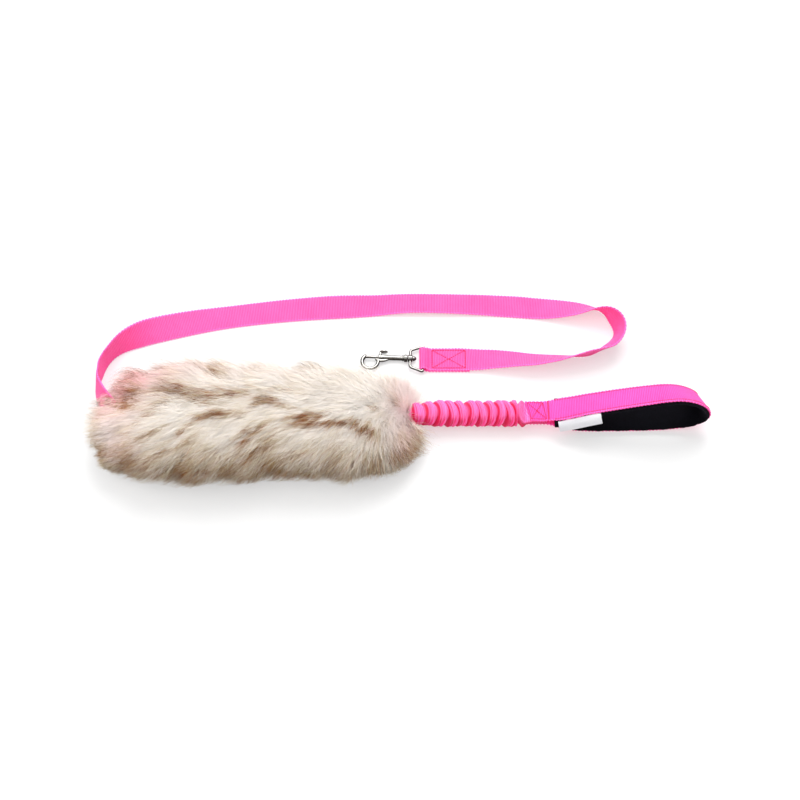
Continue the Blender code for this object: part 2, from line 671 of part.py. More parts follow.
def make_fur_cover(mats):
    """Fur pelt sewn into a tube: its outer form, bored for the core, the bungee and the lead."""
    shares = [0.5 - 0.5 * math.cos(math.pi * k / FUR_RINGS) for k in range(FUR_RINGS + 1)]
    rings = [fur_ring(s) for s in shares]
    verts, faces = ring_mesh(rings)
    fur = add_object("fur_cover", verts, faces, mats["fur"], 60)
    line, _, _ = core_frames(BORE_START, CORE_LINE[-1][0])
    line = np.vstack([line, [[FUR_RIGHT + OVERRUN, BUNGEE_Y, BUNGEE_Z]]])
    radii = np.interp(line[:, 0], [CORE_END, MOUTH_START], [BORE_RADIUS, MOUTH_RADIUS])
    bore = round_tube("fur_bore_form", line, radii, BORE_SIDES, None)
    boolean(fur, bore, "DIFFERENCE")
    middle, across, normal = lead_frames(LEAD_ROUTE, LEAD_STEPS)
    inside = (middle[:, 0] < FUR_LEFT / 2) & (middle[:, 1] < FUR_HALF_WIDTH)
    ahead = 2 * middle[0] - middle[2]
    path = np.vstack([ahead, middle[inside]])
    w = np.vstack([across[:1], across[inside]])
    n = np.vstack([normal[:1], normal[inside]])
    widths = [WEB_WIDTH + 2 * LEAD_SLOT_CLEAR] * len(path)
    deep = np.interp(path[:, 0], [STRAP_START - ANCHOR_SEAM_INSET, STRAP_START - OVERRUN], [0, 1])
    rings = []
    for p, a, b, width, d in zip(path, w, n, widths, deep):
        low = WEB_THICK / 2 + LEAD_SLOT_CLEAR + d * (STRAP_THICK + 2 * GAP)
        high = WEB_THICK / 2 + LEAD_SLOT_CLEAR + d * (THREAD_THICK + 2 * GAP)
        rings.append([p - a * width / 2 - b * low, p + a * width / 2 - b * low,
                      p + a * width / 2 + b * high, p - a * width / 2 + b * high])
    verts, faces = ring_mesh(rings)
    boolean(fur, add_object("lead_slot_form", verts, faces, None), "DIFFERENCE")
    seam = []
    for share in shares[SEAM_MARGIN:-SEAM_MARGIN]:
        ring = np.array(fur_ring(share))
        outward = unit((ring[SEAM_POINT] - ring.mean(axis=0))[None, :])[0]
        seam.append(ring[SEAM_POINT] + outward * (GAP + SEAM_THREAD_RADIUS * 2))
    round_tube("pelt_seam_thread", seam, [SEAM_THREAD_RADIUS] * len(seam), 6, mats["cream_thread"])


def core_frames(start, end, steps=3):
    """Part of the core's middle line between two X places, with its sideways direction."""
    line = smooth_curve(CORE_LINE, steps)
    kept = line[(line[:, 0] > start) & (line[:, 0] < end)]
    rows = []
    for x in [start] + list(kept[:, 0]) + [end]:
        rows.append([x, np.interp(x, line[:, 0], line[:, 1]), np.interp(x, line[:, 0], line[:, 2])])
    middle = np.array(rows)
    along = tangents(middle)
    side = unit(np.cross(np.array([0.0, 0.0, 1.0]), along))
    return middle, side, np.cross(along, side)


def strap_shift(x):
    """Sideways place of the inner strap, which moves over to pass beside the bungee cord."""
    beside_lead = -(WEB_THICK / 2 + STRAP_THICK / 2 + GAP)
    beside_cord = CORD_RADIUS + STRAP_THICK / 2 + GAP
    return np.interp(x, [STRAP_START, CORE_START - GAP, CORE_START + BORE_RADIUS,
                         CORE_END - BORE_RADIUS, CORE_END + GAP],
                     [beside_lead, beside_lead, 0, beside_cord, beside_cord])


def make_core(mats):
    """Stuffed fleece roll with a channel for the strap that carries the pull."""
    middle, side, top = core_frames(CORE_START, CORE_END)
    radii = [CORE_RADIUS] * len(middle)
    radii[0] *= CORE_LEFT_SHARE
    radii[-1] *= CORE_RIGHT_SHARE
    core = round_tube("tug_core", middle, radii, 16, mats["fleece"])
    middle, side, top = core_frames(STRAP_START, STRAP_END)
    shift = strap_shift(middle[:, 0])[:, None]
    path = middle + side * shift
    widths = [STRAP_WIDTH] * len(path)
    verts, faces = ring_mesh(strap_rings(path, top, side, widths, STRAP_THICK))
    add_object("core_strap", verts, faces, mats["strap"])
    widths = [STRAP_WIDTH + CORE_CHANNEL - STRAP_THICK] * len(path)
    verts, faces = ring_mesh(strap_rings(path, top, side, widths, CORE_CHANNEL))
    boolean(core, add_object("core_channel_form", verts, faces, None), "DIFFERENCE")


def make_anchor_seam(mats):
    """Box-X seam that sews the lead's inner end to the inner strap."""
    middle, across, normal = lead_frames(LEAD_ROUTE, LEAD_STEPS)
    along = middle[2] - middle[0]
    origin = middle[0] + along / np.linalg.norm(along) * (ANCHOR_SEAM_INSET + ANCHOR_SEAM_LENGTH / 2)
    face = np.cross(along, across[1])
    face = face / np.linalg.norm(face)
    origin = origin + face * (WEB_THICK / 2 + GAP)
    place = plane_place(origin, along, across[1])
    seam_box("anchor_stitching", ANCHOR_SEAM_LENGTH, ANCHOR_SEAM_WIDTH, place, mats["thread"])


def make_bungee(mats):
    """Elastic cord, gathered sleeve, and the binding and crimp that hold the cord's ends."""
    gathers_end = SLEEVE_RIB_START + RIB_COUNT * (RIB_PITCH_FIRST + RIB_PITCH_LAST) / 2
    cord_length = gathers_end - GAP - CORD_START
    turned("bungee_cord", [(0, CORD_RADIUS), (cord_length, CORD_RADIUS)], (CORD_START, BUNGEE_Y, BUNGEE_Z),
           mats["cord"], CORD_SIDES)
    stations = [(SLEEVE_START, SLEEVE_VALLEY), (SLEEVE_RIB_START, SLEEVE_VALLEY)]
    x = SLEEVE_RIB_START
    for k in range(RIB_COUNT):
        pitch = RIB_PITCH_FIRST + (RIB_PITCH_LAST - RIB_PITCH_FIRST) * k / (RIB_COUNT - 1)
        stations.append((x + pitch / 2, SLEEVE_CREST))
        stations.append((x + pitch, SLEEVE_VALLEY))
        x += pitch
    rings = []
    for sx, r in stations:
        rings.append([(sx, BUNGEE_Y + u, BUNGEE_Z + v) for u, v in cross_section(r, r, SLEEVE_SIDES, 2.0)])
    for share in FLARE_SHARES:
        half_w = SLEEVE_VALLEY + (TAIL_WIDTH / 2 - SLEEVE_VALLEY) * share
        half_h = SLEEVE_VALLEY + (TAIL_THICK / 2 - SLEEVE_VALLEY) * share ** FLARE_POWER
        power = 2.0 + (TAIL_SQUARENESS - 2.0) * share
        rings.append([(x + FLARE_LENGTH * share, BUNGEE_Y + u, BUNGEE_Z + v)
                      for u, v in cross_section(half_w, half_h, SLEEVE_SIDES, power)])
    tail_end = x + FLARE_LENGTH + TAIL_LENGTH
    rings.append([(tail_end, BUNGEE_Y + u, BUNGEE_Z + v)
                  for u, v in cross_section(TAIL_WIDTH / 2, TAIL_THICK / 2, SLEEVE_SIDES, TAIL_SQUARENESS)])
    verts, faces = ring_mesh(rings)
    sleeve = add_object("bungee_sleeve", verts, faces, mats["sleeve"])
    bore = turned("sleeve_bore_form", [(0, SLEEVE_BORE), (gathers_end - SLEEVE_START + OVERRUN, SLEEVE_BORE)],
                  (SLEEVE_START - OVERRUN, BUNGEE_Y, BUNGEE_Z), None, 16)
    boolean(sleeve, bore, "DIFFERENCE")
    beside = CORD_RADIUS + STRAP_THICK + 2 * GAP
    inner_w = (CORD_RADIUS + beside) / 2 + BINDING_EASE
    inner_h = STRAP_WIDTH / 2 + 2 * BINDING_EASE
    middle_y = BUNGEE_Y + (beside - CORD_RADIUS) / 2
    binding_x = CORD_START + BINDING_SETBACK
    collar_ring("tug_binding", binding_x, BINDING_LENGTH, middle_y, BUNGEE_Z, inner_w, inner_h, BINDING_THICK,
                TAIL_SQUARENESS, mats["cream_thread"])
    crimp_x = gathers_end - CRIMP_LENGTH - GAP
    collar_ring("cord_crimp", crimp_x, CRIMP_LENGTH, BUNGEE_Y, BUNGEE_Z, CORD_RADIUS + GAP, CORD_RADIUS + GAP,
                CRIMP_THICK, 2.0, mats["steel"])
    return x + FLARE_LENGTH


def collar_ring(name, x, length, y, z, half_w, half_h, wall, power, mat):
    """Open band round the X direction with a rounded outline."""
    inner = cross_section(half_w, half_h, 20, power)
    outer = cross_section(half_w + wall, half_h + wall, 20, power)
    rings = [[(x, y + u, z + v) for u, v in inner], [(x + length, y + u, z + v) for u, v in inner],
             [(x + length, y + u, z + v) for u, v in outer], [(x, y + u, z + v) for u, v in outer]]
    verts, faces = ring_mesh(rings, closed=True)
    return add_object(name, verts, faces, mat)


def handle_frames(join_x):
    """Middle line, width direction and outward normal of the handle's webbing."""
    tail_half = TAIL_THICK / 2 + 2 * GAP + WEB_THICK / 2
    rows = [(join_x + JOIN_LENGTH * share, BUNGEE_Z + tail_half, 0.0, 0.0) for share in JOIN_SHARES]
    loop_x = join_x + JOIN_LENGTH
    for sx, sz, roll in LOOP_SHARES[1:-1]:
        half = WEB_THICK / 2
        rows.append((loop_x + sx * (LOOP_LENGTH - half), half + sz * (LOOP_HEIGHT - WEB_THICK), roll,
                     LOOP_SWAY * sx ** 3))
    rows += [(join_x + JOIN_LENGTH * share, BUNGEE_Z - tail_half, 0.0, 0.0) for share in reversed(JOIN_SHARES)]
    curve = smooth_curve(rows, HANDLE_STEPS)
    middle = np.column_stack([curve[:, 0], HANDLE_Y + curve[:, 3], curve[:, 1]])
    along = tangents(middle)
    straight = np.tile([0.0, 1.0, 0.0], (len(curve), 1))
    outward = unit(np.cross(along, straight))
    roll = np.radians(HANDLE_ROLL * curve[:, 2])[:, None]
    across = np.cos(roll) * straight + np.sin(roll) * outward
    return middle, across, unit(np.cross(along, across))


def cut_path(middle, start, end, *others):
    """Stretch of a path between two distances along it, with its frames."""
    s = path_length(middle)
    inner = s[(s > start) & (s < end)]
    at = np.concatenate([[start], inner, [end]])
    out = []
    for rows in (middle,) + others:
        out.append(np.column_stack([np.interp(at, s, rows[:, k]) for k in range(3)]))
    return [out[0]] + [unit(rows) for rows in out[1:]]


def make_handle(mats, join_x):
    """Handle loop of webbing with its lining, seams, bar tack and label."""
    middle, across, normal = handle_frames(join_x)
    along = path_length(middle)
    total = along[-1]
    from_end = np.minimum(along, total - along)
    widths = np.interp(from_end, [JOIN_LENGTH, JOIN_LENGTH + WIDTH_RAMP], [JOIN_WIDTH, WEB_WIDTH])
    verts, faces = ring_mesh(strap_rings(middle, across, normal, widths, WEB_THICK))
    add_object("handle_webbing", verts, faces, mats["webbing"])

    inside = -(WEB_THICK / 2 + 2 * GAP + LINING_THICK / 2)
    start = JOIN_LENGTH + LINING_START
    p, w, n = cut_path(middle, start, total - JOIN_LENGTH - LINING_END, across, normal)
    verts, faces = ring_mesh(strap_rings(p, w, n, [LINING_WIDTH] * len(p), LINING_THICK, shift_n=inside))
    lining = add_object("handle_lining", verts, faces, mats["lining"])

    outside = WEB_THICK / 2 + GAP + THREAD_THICK / 2
    span = WEB_WIDTH - 2 * EDGE_SEAM_INSET
    p, w, n = cut_path(middle, start, EDGE_SEAM_END, across, normal)
    verts, faces = ring_mesh(strap_rings(p, w, n, [span + THREAD_WIDTH] * len(p), THREAD_THICK, outside))
    seam = add_object("lining_stitching", verts, faces, mats["thread"])
    p, w, n = cut_path(middle, start + THREAD_WIDTH, EDGE_SEAM_END + THREAD_WIDTH, across, normal)
    verts, faces = ring_mesh(strap_rings(p, w, n, [span - THREAD_WIDTH] * len(p), 3 * THREAD_THICK, outside))
    boolean(seam, add_object("seam_window_form", verts, faces, None), "DIFFERENCE")

    top_z = middle[0][2] + WEB_THICK / 2 + GAP
    seam_x = join_x + JOIN_SEAM_INSET + JOIN_SEAM_LENGTH / 2
    place = plane_place((seam_x, HANDLE_Y, top_z), (1, 0, 0), (0, 1, 0))
    seam_box("join_stitching", JOIN_SEAM_LENGTH, JOIN_SEAM_WIDTH, place, mats["thread"])
    p, w, n = cut_path(middle, JOIN_LENGTH, JOIN_LENGTH + BAR_TACK_WIDTH, across, normal)
    verts, faces = ring_mesh(strap_rings(p, w, n, [BAR_TACK_LENGTH] * len(p), THREAD_THICK, outside))
    add_object("bar_tack", verts, faces, mats["thread"])

    make_label(mats, middle, across, normal, lining)


def make_label(mats, middle, across, normal, lining):
    """Fabric tag caught between the webbing and the lining, drooping from the near edge."""
    start = JOIN_LENGTH + LABEL_START
    p, w, n = cut_path(middle, start, start + LABEL_LENGTH, across, normal)
    under = WEB_THICK / 2 + GAP + LABEL_THICK / 2
    droop = math.radians(LABEL_DROOP_DEG)
    edge = -(LINING_WIDTH / 2 + 2 * GAP)
    rings = []
    for c, a, b in zip(p, w, n):
        inner = c - b * under + a * (edge + LABEL_FLANGE)
        bend = c - b * under + a * edge
        tip = bend - a * LABEL_DROP * math.cos(droop) - b * LABEL_DROP * math.sin(droop)
        half = b * LABEL_THICK / 2
        turn = (b * math.cos(droop) - a * math.sin(droop)) * LABEL_THICK / 2
        rings.append([inner - half, bend - half, tip - turn, tip + turn, bend + half, inner + half])
    verts, faces = ring_mesh(rings)
    add_object("label_tag", verts, faces, mats["label"])
    reach = LABEL_LENGTH + 2 * RECESS_EASE
    p, w, n = cut_path(middle, start - RECESS_EASE, start - RECESS_EASE + reach, across, normal)
    wide = LABEL_FLANGE + 2 * RECESS_EASE
    deep = LABEL_THICK + 2 * RECESS_EASE
    shift = edge - RECESS_EASE + wide / 2
    rings = strap_rings(p, w, n, [wide] * len(p), deep, -under, shift)
    verts, faces = ring_mesh(rings)
    boolean(lining, add_object("label_recess_form", verts, faces, None), "DIFFERENCE")


def make_materials():
    """One material for each finish."""
    return {
        "webbing": material("pink_polypropylene_webbing", PINK, 0.6, 0.0),
        "thread": material("pink_polyester_thread", PINK_THREAD, 0.55, 0.0),
        "sleeve": material("pink_tubular_webbing", "#FF4A9C", 0.6, 0.0),
        "lining": material("black_fleece", BLACK, 0.95, 0.0),
        "label": material("white_satin_label", "#F2F2F5", 0.5, 0.0),
        "cream_thread": material("waxed_thread", "#D9CDB5", 0.6, 0.0),
        "fur": material("rabbit_fur", "#E9DFD2", 0.9, 0.0),
        "fleece": material("core_fleece", "#D8D2C8", 0.95, 0.0),
        "strap": material("inner_strap_webbing", PINK, 0.6, 0.0),
        "cord": material("bungee_cord_cover", "#2B2B30", 0.7, 0.0),
        "nickel": material("nickel_plate", "#B9B8B4", 0.18, 1.0),
        "steel": material("plain_steel", "#8C8C8E", 0.35, 1.0),
    }


def seat(already, origin, turn_deg=0.0):
    """Move the origin of each new object to a point and turn the object about Z there."""
    for obj in bpy.data.objects:
        if obj.name not in already:
            obj.data.transform(Matrix.Translation(-Vector(origin)))
            obj.location = origin
            obj.rotation_euler.z = math.radians(turn_deg)


def names():
    """Names of the objects made so far."""
    return {obj.name for obj in bpy.data.objects}


def main():
    clear_scene()
    mats = make_materials()
    make_fur_cover(mats)
    make_core(mats)
    make_anchor_seam(mats)
    make_lead(mats)
    make_snap_seam(mats)
    before = names()
    make_eye(mats)
    make_snap_body(mats)
    make_rivet(mats)
    make_bolt(mats)
    seat(before, (BAR_X, BAR_Y, COLLAR_RADIUS), SNAP_TURN_DEG)
    join_x = make_bungee(mats)
    before = names()
    make_handle(mats, join_x)
    seat(before, (join_x, HANDLE_Y, BUNGEE_Z))


main()
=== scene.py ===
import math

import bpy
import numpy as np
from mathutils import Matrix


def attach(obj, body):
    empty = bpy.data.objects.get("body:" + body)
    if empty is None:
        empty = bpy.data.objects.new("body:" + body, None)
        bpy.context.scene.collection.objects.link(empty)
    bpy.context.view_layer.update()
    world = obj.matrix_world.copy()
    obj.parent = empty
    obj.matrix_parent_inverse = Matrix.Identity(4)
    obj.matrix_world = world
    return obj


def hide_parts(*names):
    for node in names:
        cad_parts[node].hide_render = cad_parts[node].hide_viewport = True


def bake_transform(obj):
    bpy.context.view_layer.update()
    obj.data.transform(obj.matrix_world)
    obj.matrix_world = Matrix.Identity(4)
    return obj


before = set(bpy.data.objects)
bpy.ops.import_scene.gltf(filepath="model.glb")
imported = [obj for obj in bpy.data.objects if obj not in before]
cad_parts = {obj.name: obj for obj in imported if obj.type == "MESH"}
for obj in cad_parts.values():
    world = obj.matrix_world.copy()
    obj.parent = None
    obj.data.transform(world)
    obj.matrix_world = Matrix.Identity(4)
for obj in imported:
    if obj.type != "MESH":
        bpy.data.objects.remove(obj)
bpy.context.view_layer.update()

# %% [markdown]
# # A tug leash: fur, bungee, webbing and a small snap
# The real thing is a training toy for a dog. A fur tug is sewn to a short bungee with a
# handle, and a flat webbing lead runs from its far end to a bolt snap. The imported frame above
# holds the measured parts. Each cell below dresses one of them, and everything is in metres.

MM = 0.001
TURN = 2 * math.pi

# %% [markdown]
# ## Where the camera stands
# The leash lies on a table and is seen from well above its near side. A long lens from more
# than a metre away keeps the two ends at nearly the same scale, so the camera is placed first.

# %% Camera
CAMERA_TILT = math.radians(30)
CAMERA_DISTANCE = 1.15
CAMERA_AIM = (0.120, 0.040, 0.0)
camera_data = bpy.data.cameras.new("table_camera")
camera_data.lens = 57.5
camera_data.sensor_width = 36.0
camera = bpy.data.objects.new("table_camera", camera_data)
camera.location = (CAMERA_AIM[0], CAMERA_AIM[1] - CAMERA_DISTANCE * math.sin(CAMERA_TILT),
                   CAMERA_DISTANCE * math.cos(CAMERA_TILT))
camera.rotation_euler = (CAMERA_TILT, 0.0, 0.0)
bpy.context.collection.objects.link(camera)
bpy.context.scene.camera = camera
bpy.context.scene.view_settings.view_transform = "Standard"
print("camera at", [round(c, 3) for c in camera.location])

# %% [markdown]
# ## Colours and nodes
# Dyes and metals are written as the hex codes that a picture editor shows. Blender works in
# linear light, so one function turns the codes over. A second one adds any node at all, and
# the short ones after it add the few kinds that every material here needs.

# %% Colour and node helpers


def linear(code):
    """sRGB hex code to linear RGBA: c / 12.92 for dark values, else ((c + 0.055) / 1.055) to the power 2.4."""
    c = np.array([int(code[k:k + 2], 16) / 255 for k in (1, 3, 5)])
    c = np.where(c <= 0.04045, c / 12.92, ((c + 0.055) / 1.055) ** 2.4)
    return (*map(float, c), 1.0)


def fill(tree, node, inputs):
    """Fill the sockets of a node, each with a value, a colour's hex code, or a link to another node's result."""
    for key, value in inputs.items():
        if isinstance(value, bpy.types.NodeSocket):
            tree.links.new(value, node.inputs[key])
        else:
            node.inputs[key].default_value = linear(value) if isinstance(value, str) else value


def add_node(tree, kind, inputs=None, **settings):
    """Add one node, set its properties, and fill its sockets with values or links to other sockets."""
    made = tree.nodes.new("ShaderNode" + kind)
    for key, value in settings.items():
        setattr(made, key, value)
    fill(tree, made, inputs or {})
    return made


def maths(tree, operation, *values):
    """Result of one operation on its values, such as MULTIPLY_ADD for a * b + c."""
    return add_node(tree, "Math", dict(enumerate(values)), operation=operation).outputs[0]


def ranged(tree, value, low, high, to_low=0.0, to_high=1.0, kind="LINEAR"):
    """Move a value from one range to another, and hold it at the ends of the second."""
    return add_node(tree, "MapRange", {"Value": value, "From Min": low, "From Max": high, "To Min": to_low,
                                       "To Max": to_high}, interpolation_type=kind).outputs[0]


def mixed(tree, share, first, second, blend="MIX"):
    """Mix of two colours: a share of 0 gives the first, and 1 gives the second."""
    return add_node(tree, "Mix", {0: share, 6: first, 7: second}, data_type="RGBA", blend_type=blend).outputs[2]


def noise(tree, scale, detail, roughness=0.5):
    """Cloudy noise on the object's own coordinates, from 0 to 1."""
    place = add_node(tree, "TexCoord").outputs["Object"]
    return add_node(tree, "TexNoise", {"Vector": place, "Scale": scale, "Detail": detail,
                                       "Roughness": roughness}).outputs["Fac"]


def ramp(tree, value, stops):
    """Colour ramp: stops are pairs of place and hex code."""
    node = add_node(tree, "ValToRGB", {"Fac": value})
    elements = node.color_ramp.elements
    while len(elements) < len(stops):
        elements.new(0.5)
    for element, (place, code) in zip(elements, stops):
        element.position = place
        element.color = linear(code)
    return node.outputs[0]


def uv_xy(tree, layer):
    """The two coordinates of a UV map."""
    uv = add_node(tree, "UVMap", uv_map=layer)
    return add_node(tree, "SeparateXYZ", {0: uv.outputs[0]}).outputs[:2]


def new_material(name):
    """Make an empty node material with an output, and return it with its tree."""
    made = bpy.data.materials.new(name)
    made.use_nodes = True
    return made, made.node_tree


def dress(tree, inputs, height=None, strength=0.0, depth=0.0):
    """Fill the Principled shader's sockets, and bump it by a height that is worth a depth in metres."""
    if height is not None:
        bump = add_node(tree, "Bump", {"Height": height, "Strength": strength, "Distance": depth})
        inputs = {**inputs, "Normal": bump.outputs[0]}
    fill(tree, tree.nodes["Principled BSDF"], inputs)


print("webbing pink in linear light:", [round(c, 3) for c in linear("#FF4FAE")[:3]])

# %% [markdown]
# ## The table and the light
# The leash lies on a white sweep under a large soft lamp, so its shadows are faint and the
# pink straps throw a blush on the table. The table is pure white only to the camera and to
# mirrors, and a little darker to the light that bounces. To the camera it is also half bleached
# out, as an overexposed picture is. The room is bright overhead and dim near the horizon,
# which gives bright metal its dark rims.

# %% Table, sky and lamps
BLEACH = 0.50
table_white, tree = new_material("matt_white_paper_table")
ray = add_node(tree, "LightPath").outputs
seen = maths(tree, "MAXIMUM", ray["Is Camera Ray"], ray["Is Glossy Ray"])
seen = maths(tree, "MAXIMUM", seen, ray["Is Transmission Ray"])
dress(tree, {"Base Color": mixed(tree, seen, "#E4E2E2", "#FFFFFF"), "Roughness": 0.9, "Specular IOR Level": 0.1})
white = add_node(tree, "Emission", {"Color": (1, 1, 1, 1), "Strength": 1.0})
bleached = add_node(tree, "MixShader", {0: maths(tree, "MULTIPLY", ray["Is Camera Ray"], BLEACH),
                                        1: tree.nodes["Principled BSDF"].outputs[0], 2: white.outputs[0]})
fill(tree, tree.nodes["Material Output"], {"Surface": bleached.outputs[0]})

FLOOR_HALF = 3.0
floor_mesh = bpy.data.meshes.new("table_top")
floor_mesh.from_pydata([(x * FLOOR_HALF, y * FLOOR_HALF, 0) for x, y in ((-1, -1), (1, -1), (1, 1), (-1, 1))],
                       [], [(0, 1, 2, 3)])
floor_mesh.materials.append(table_white)
floor = bpy.data.objects.new("table_top", floor_mesh)
bpy.context.collection.objects.link(floor)

sky = bpy.data.worlds.new("soft_box_world")
sky.use_nodes = True
bpy.context.scene.world = sky
tree = sky.node_tree
ray = add_node(tree, "LightPath").outputs
sight = add_node(tree, "TexCoord")
upward = add_node(tree, "SeparateXYZ", {0: sight.outputs["Generated"]})
ceiling = ranged(tree, upward.outputs["Z"], 0.22, 0.85, 0.03, 0.90, "SMOOTHSTEP")
level = add_node(tree, "Mix", {0: ray["Is Camera Ray"], 2: ceiling, 3: 1.0})
fill(tree, tree.nodes["Background"], {"Strength": level.outputs[0], "Color": (1, 1, 1, 1)})


def soft_lamp(name, place, aim, size, watts):
    """Square area lamp that looks from its place at a point."""
    data = bpy.data.lights.new(name, "AREA")
    data.size = size
    data.energy = watts
    lamp = bpy.data.objects.new(name, data)
    lamp.location = place
    direction = np.array(aim, float) - np.array(place, float)
    flat = math.hypot(direction[0], direction[1])
    lamp.rotation_euler = (math.atan2(flat, -direction[2]), 0.0, math.atan2(-direction[0], direction[1]))
    bpy.context.collection.objects.link(lamp)
    return lamp


key_lamp = soft_lamp("key_lamp", (0.25, 0.95, 1.35), CAMERA_AIM, 1.1, 21.5)
fill_lamp = soft_lamp("fill_lamp", (-0.9, -0.2, 1.5), CAMERA_AIM, 1.2, 8.0)
print("lamps:", key_lamp.name, fill_lamp.name)

# %% [markdown]
# ## Surfaces from numbers
# Webbing, cord, wire and cloth are all tubes that follow a line, so the pieces share a few
# helpers. Some put rows of points into a mesh and close it. The others draw a smooth line
# through chosen points, cut it into equal steps and find its direction.

# %% Mesh and curve helpers


def unit(rows):
    """Divide each vector by its own length."""
    return rows / np.maximum(np.linalg.norm(rows, axis=-1, keepdims=True), 1e-12)


def put_mesh(name, points, face_sets, material, uv_sets=None, layer_name="cloth"):
    """Make an object from points [n, 3] and sets of faces, each an array with equal corner counts.

    uv_sets gives, for each set, the UV of every corner as [faces, corners, 2].
    """
    corners = np.concatenate([f.reshape(-1) for f in face_sets]).astype(np.int32)
    sizes = np.concatenate([np.full(len(f), f.shape[1]) for f in face_sets])
    starts = np.concatenate([[0], np.cumsum(sizes)[:-1]]).astype(np.int32)
    mesh = bpy.data.meshes.new(name)
    mesh.vertices.add(len(points))
    mesh.vertices.foreach_set("co", np.ascontiguousarray(points, np.float32).reshape(-1))
    mesh.loops.add(len(corners))
    mesh.loops.foreach_set("vertex_index", corners)
    mesh.polygons.add(len(starts))
    mesh.polygons.foreach_set("loop_start", starts)
    if uv_sets is not None:
        layer = mesh.uv_layers.new(name=layer_name)
        uv = np.concatenate([u.reshape(-1) for u in uv_sets]).astype(np.float32)
        layer.data.foreach_set("uv", uv)
    mesh.update(calc_edges=True)
    mesh.validate()
    mesh.polygons.foreach_set("use_smooth", np.full(len(mesh.polygons), True))
    mesh.materials.append(material)
    made = bpy.data.objects.new(name, mesh)
    bpy.context.collection.objects.link(made)
    return made


def point_values(made, name, values):
    """Store one number for each point of a mesh, for its material to read."""
    marks = made.data.attributes.new(name, "FLOAT", "POINT")
    marks.data.foreach_set("value", values.reshape(-1).astype(np.float32))


def grid_faces(rows, columns, loop_rows=False):
    """Quads of a grid whose columns loop, and its rows too if asked: corner (i, j) is point i * columns + j."""
    i, j = np.meshgrid(np.arange(rows if loop_rows else rows - 1), np.arange(columns), indexing="ij")
    i2, j2 = (i + 1) % rows, (j + 1) % columns
    return np.stack([i * columns + j, i * columns + j2, i2 * columns + j2, i2 * columns + j], axis=-1).reshape(-1, 4)


def tube_faces(rows, columns):
    """Three sets of faces: the quads of a tube of rings, and a flat cap at each end."""
    ring = np.arange(columns)[None]
    return [grid_faces(rows, columns), ring[:, ::-1], (rows - 1) * columns + ring]


def grid_uv(u, v):
    """Corner UVs of a grid whose columns loop: u of each row, v of each column with its repeat at the end."""
    i, j = np.meshgrid(np.arange(len(u) - 1), np.arange(len(v) - 1), indexing="ij")
    i, j = i.reshape(-1), j.reshape(-1)
    return np.stack([np.stack([u[a], v[b]], axis=-1) for a, b in ((i, j), (i, j + 1), (i + 1, j + 1), (i + 1, j))],
                    axis=1)


def outward(made):
    """Turn the whole skin inside out if its signed volume is negative: the sum of p1 . (p2 x p3) / 6."""
    mesh = made.data
    mesh.calc_loop_triangles()
    co = np.empty(3 * len(mesh.vertices))
    mesh.vertices.foreach_get("co", co)
    tri = np.empty(3 * len(mesh.loop_triangles), np.int32)
    mesh.loop_triangles.foreach_get("vertices", tri)
    p = co.reshape(-1, 3)[tri.reshape(-1, 3)]
    if np.einsum("ij,ij->i", p[:, 0], np.cross(p[:, 1], p[:, 2])).sum() < 0:
        mesh.flip_normals()
    return made


def tube(name, rings, material, uv=None, end_uv=((0, 0), (0, 0))):
    """Closed tube from rings [rows, columns, 3]: uv gives the corners of its quads, end_uv a place for each cap."""
    rows, columns = rings.shape[:2]
    if uv is not None:
        uv = [uv] + [np.zeros((1, columns, 2)) + place for place in end_uv]
    return outward(put_mesh(name, rings.reshape(-1, 3), tube_faces(rows, columns), material, uv))


def belongs(piece, body, node):
    """Let a piece ride a body and stand for a measured part, which is hidden."""
    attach(piece, body)
    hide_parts(node)


def smooth_line(points, steps):
    """Catmull-Rom curve: between two points it is the cubic that passes both with the slope of their neighbours."""
    p = np.array(points, float)
    p = np.vstack([2 * p[0] - p[1], p, 2 * p[-1] - p[-2]])
    u = (np.arange(steps) / steps)[None, :, None]
    a, b, c, d = (p[k:len(p) - 3 + k, None, :] for k in range(4))
    out = 0.5 * (2 * b + (c - a) * u + (2 * a - 5 * b + 4 * c - d) * u ** 2 + (3 * b - a - 3 * c + d) * u ** 3)
    return np.vstack([out.reshape(-1, p.shape[1]), p[-2]])


def distance(points):
    """Distance along a line at each of its points."""
    return np.concatenate([[0], np.cumsum(np.linalg.norm(np.diff(points[:, :3], axis=0), axis=1))])


def evenly(rows, step):
    """Cut a line, whose first three columns are x, y and z, into equal steps, and keep its other columns."""
    s = distance(rows)
    at = np.linspace(0, s[-1], max(2, int(round(s[-1] / step)) + 1))
    return np.column_stack([np.interp(at, s, rows[:, k]) for k in range(rows.shape[1])])


def direction(points):
    """Unit direction of a line at each of its points."""
    return unit(np.gradient(points, axis=0))


print("a quarter circle in 4 steps is",
      round(float(distance(smooth_line([(1, 0, 0), (.707, .707, 0), (0, 1, 0)], 4))[-1]), 3), "long")

# %% [markdown]
# ## Nylon webbing, woven and dyed a fluorescent pink
# The lead is one flat strap, 25 mm wide and 1.6 mm thick. Heavy cross yarns every 1.5 mm
# give it ribs that run across its width, and the two selvedges, where the cross yarns turn
# back, are dotted and look more lilac. The ribs are real geometry, because they catch the
# light at the edges, and the finer crossing of the yarns is left to the material's bump.

# %% Webbing material
RIB_PITCH = 1.5 * MM
YARN_PITCH = 0.9 * MM
STRAP_WIDTH = 25.0 * MM
STRAP_THICK = 1.6 * MM


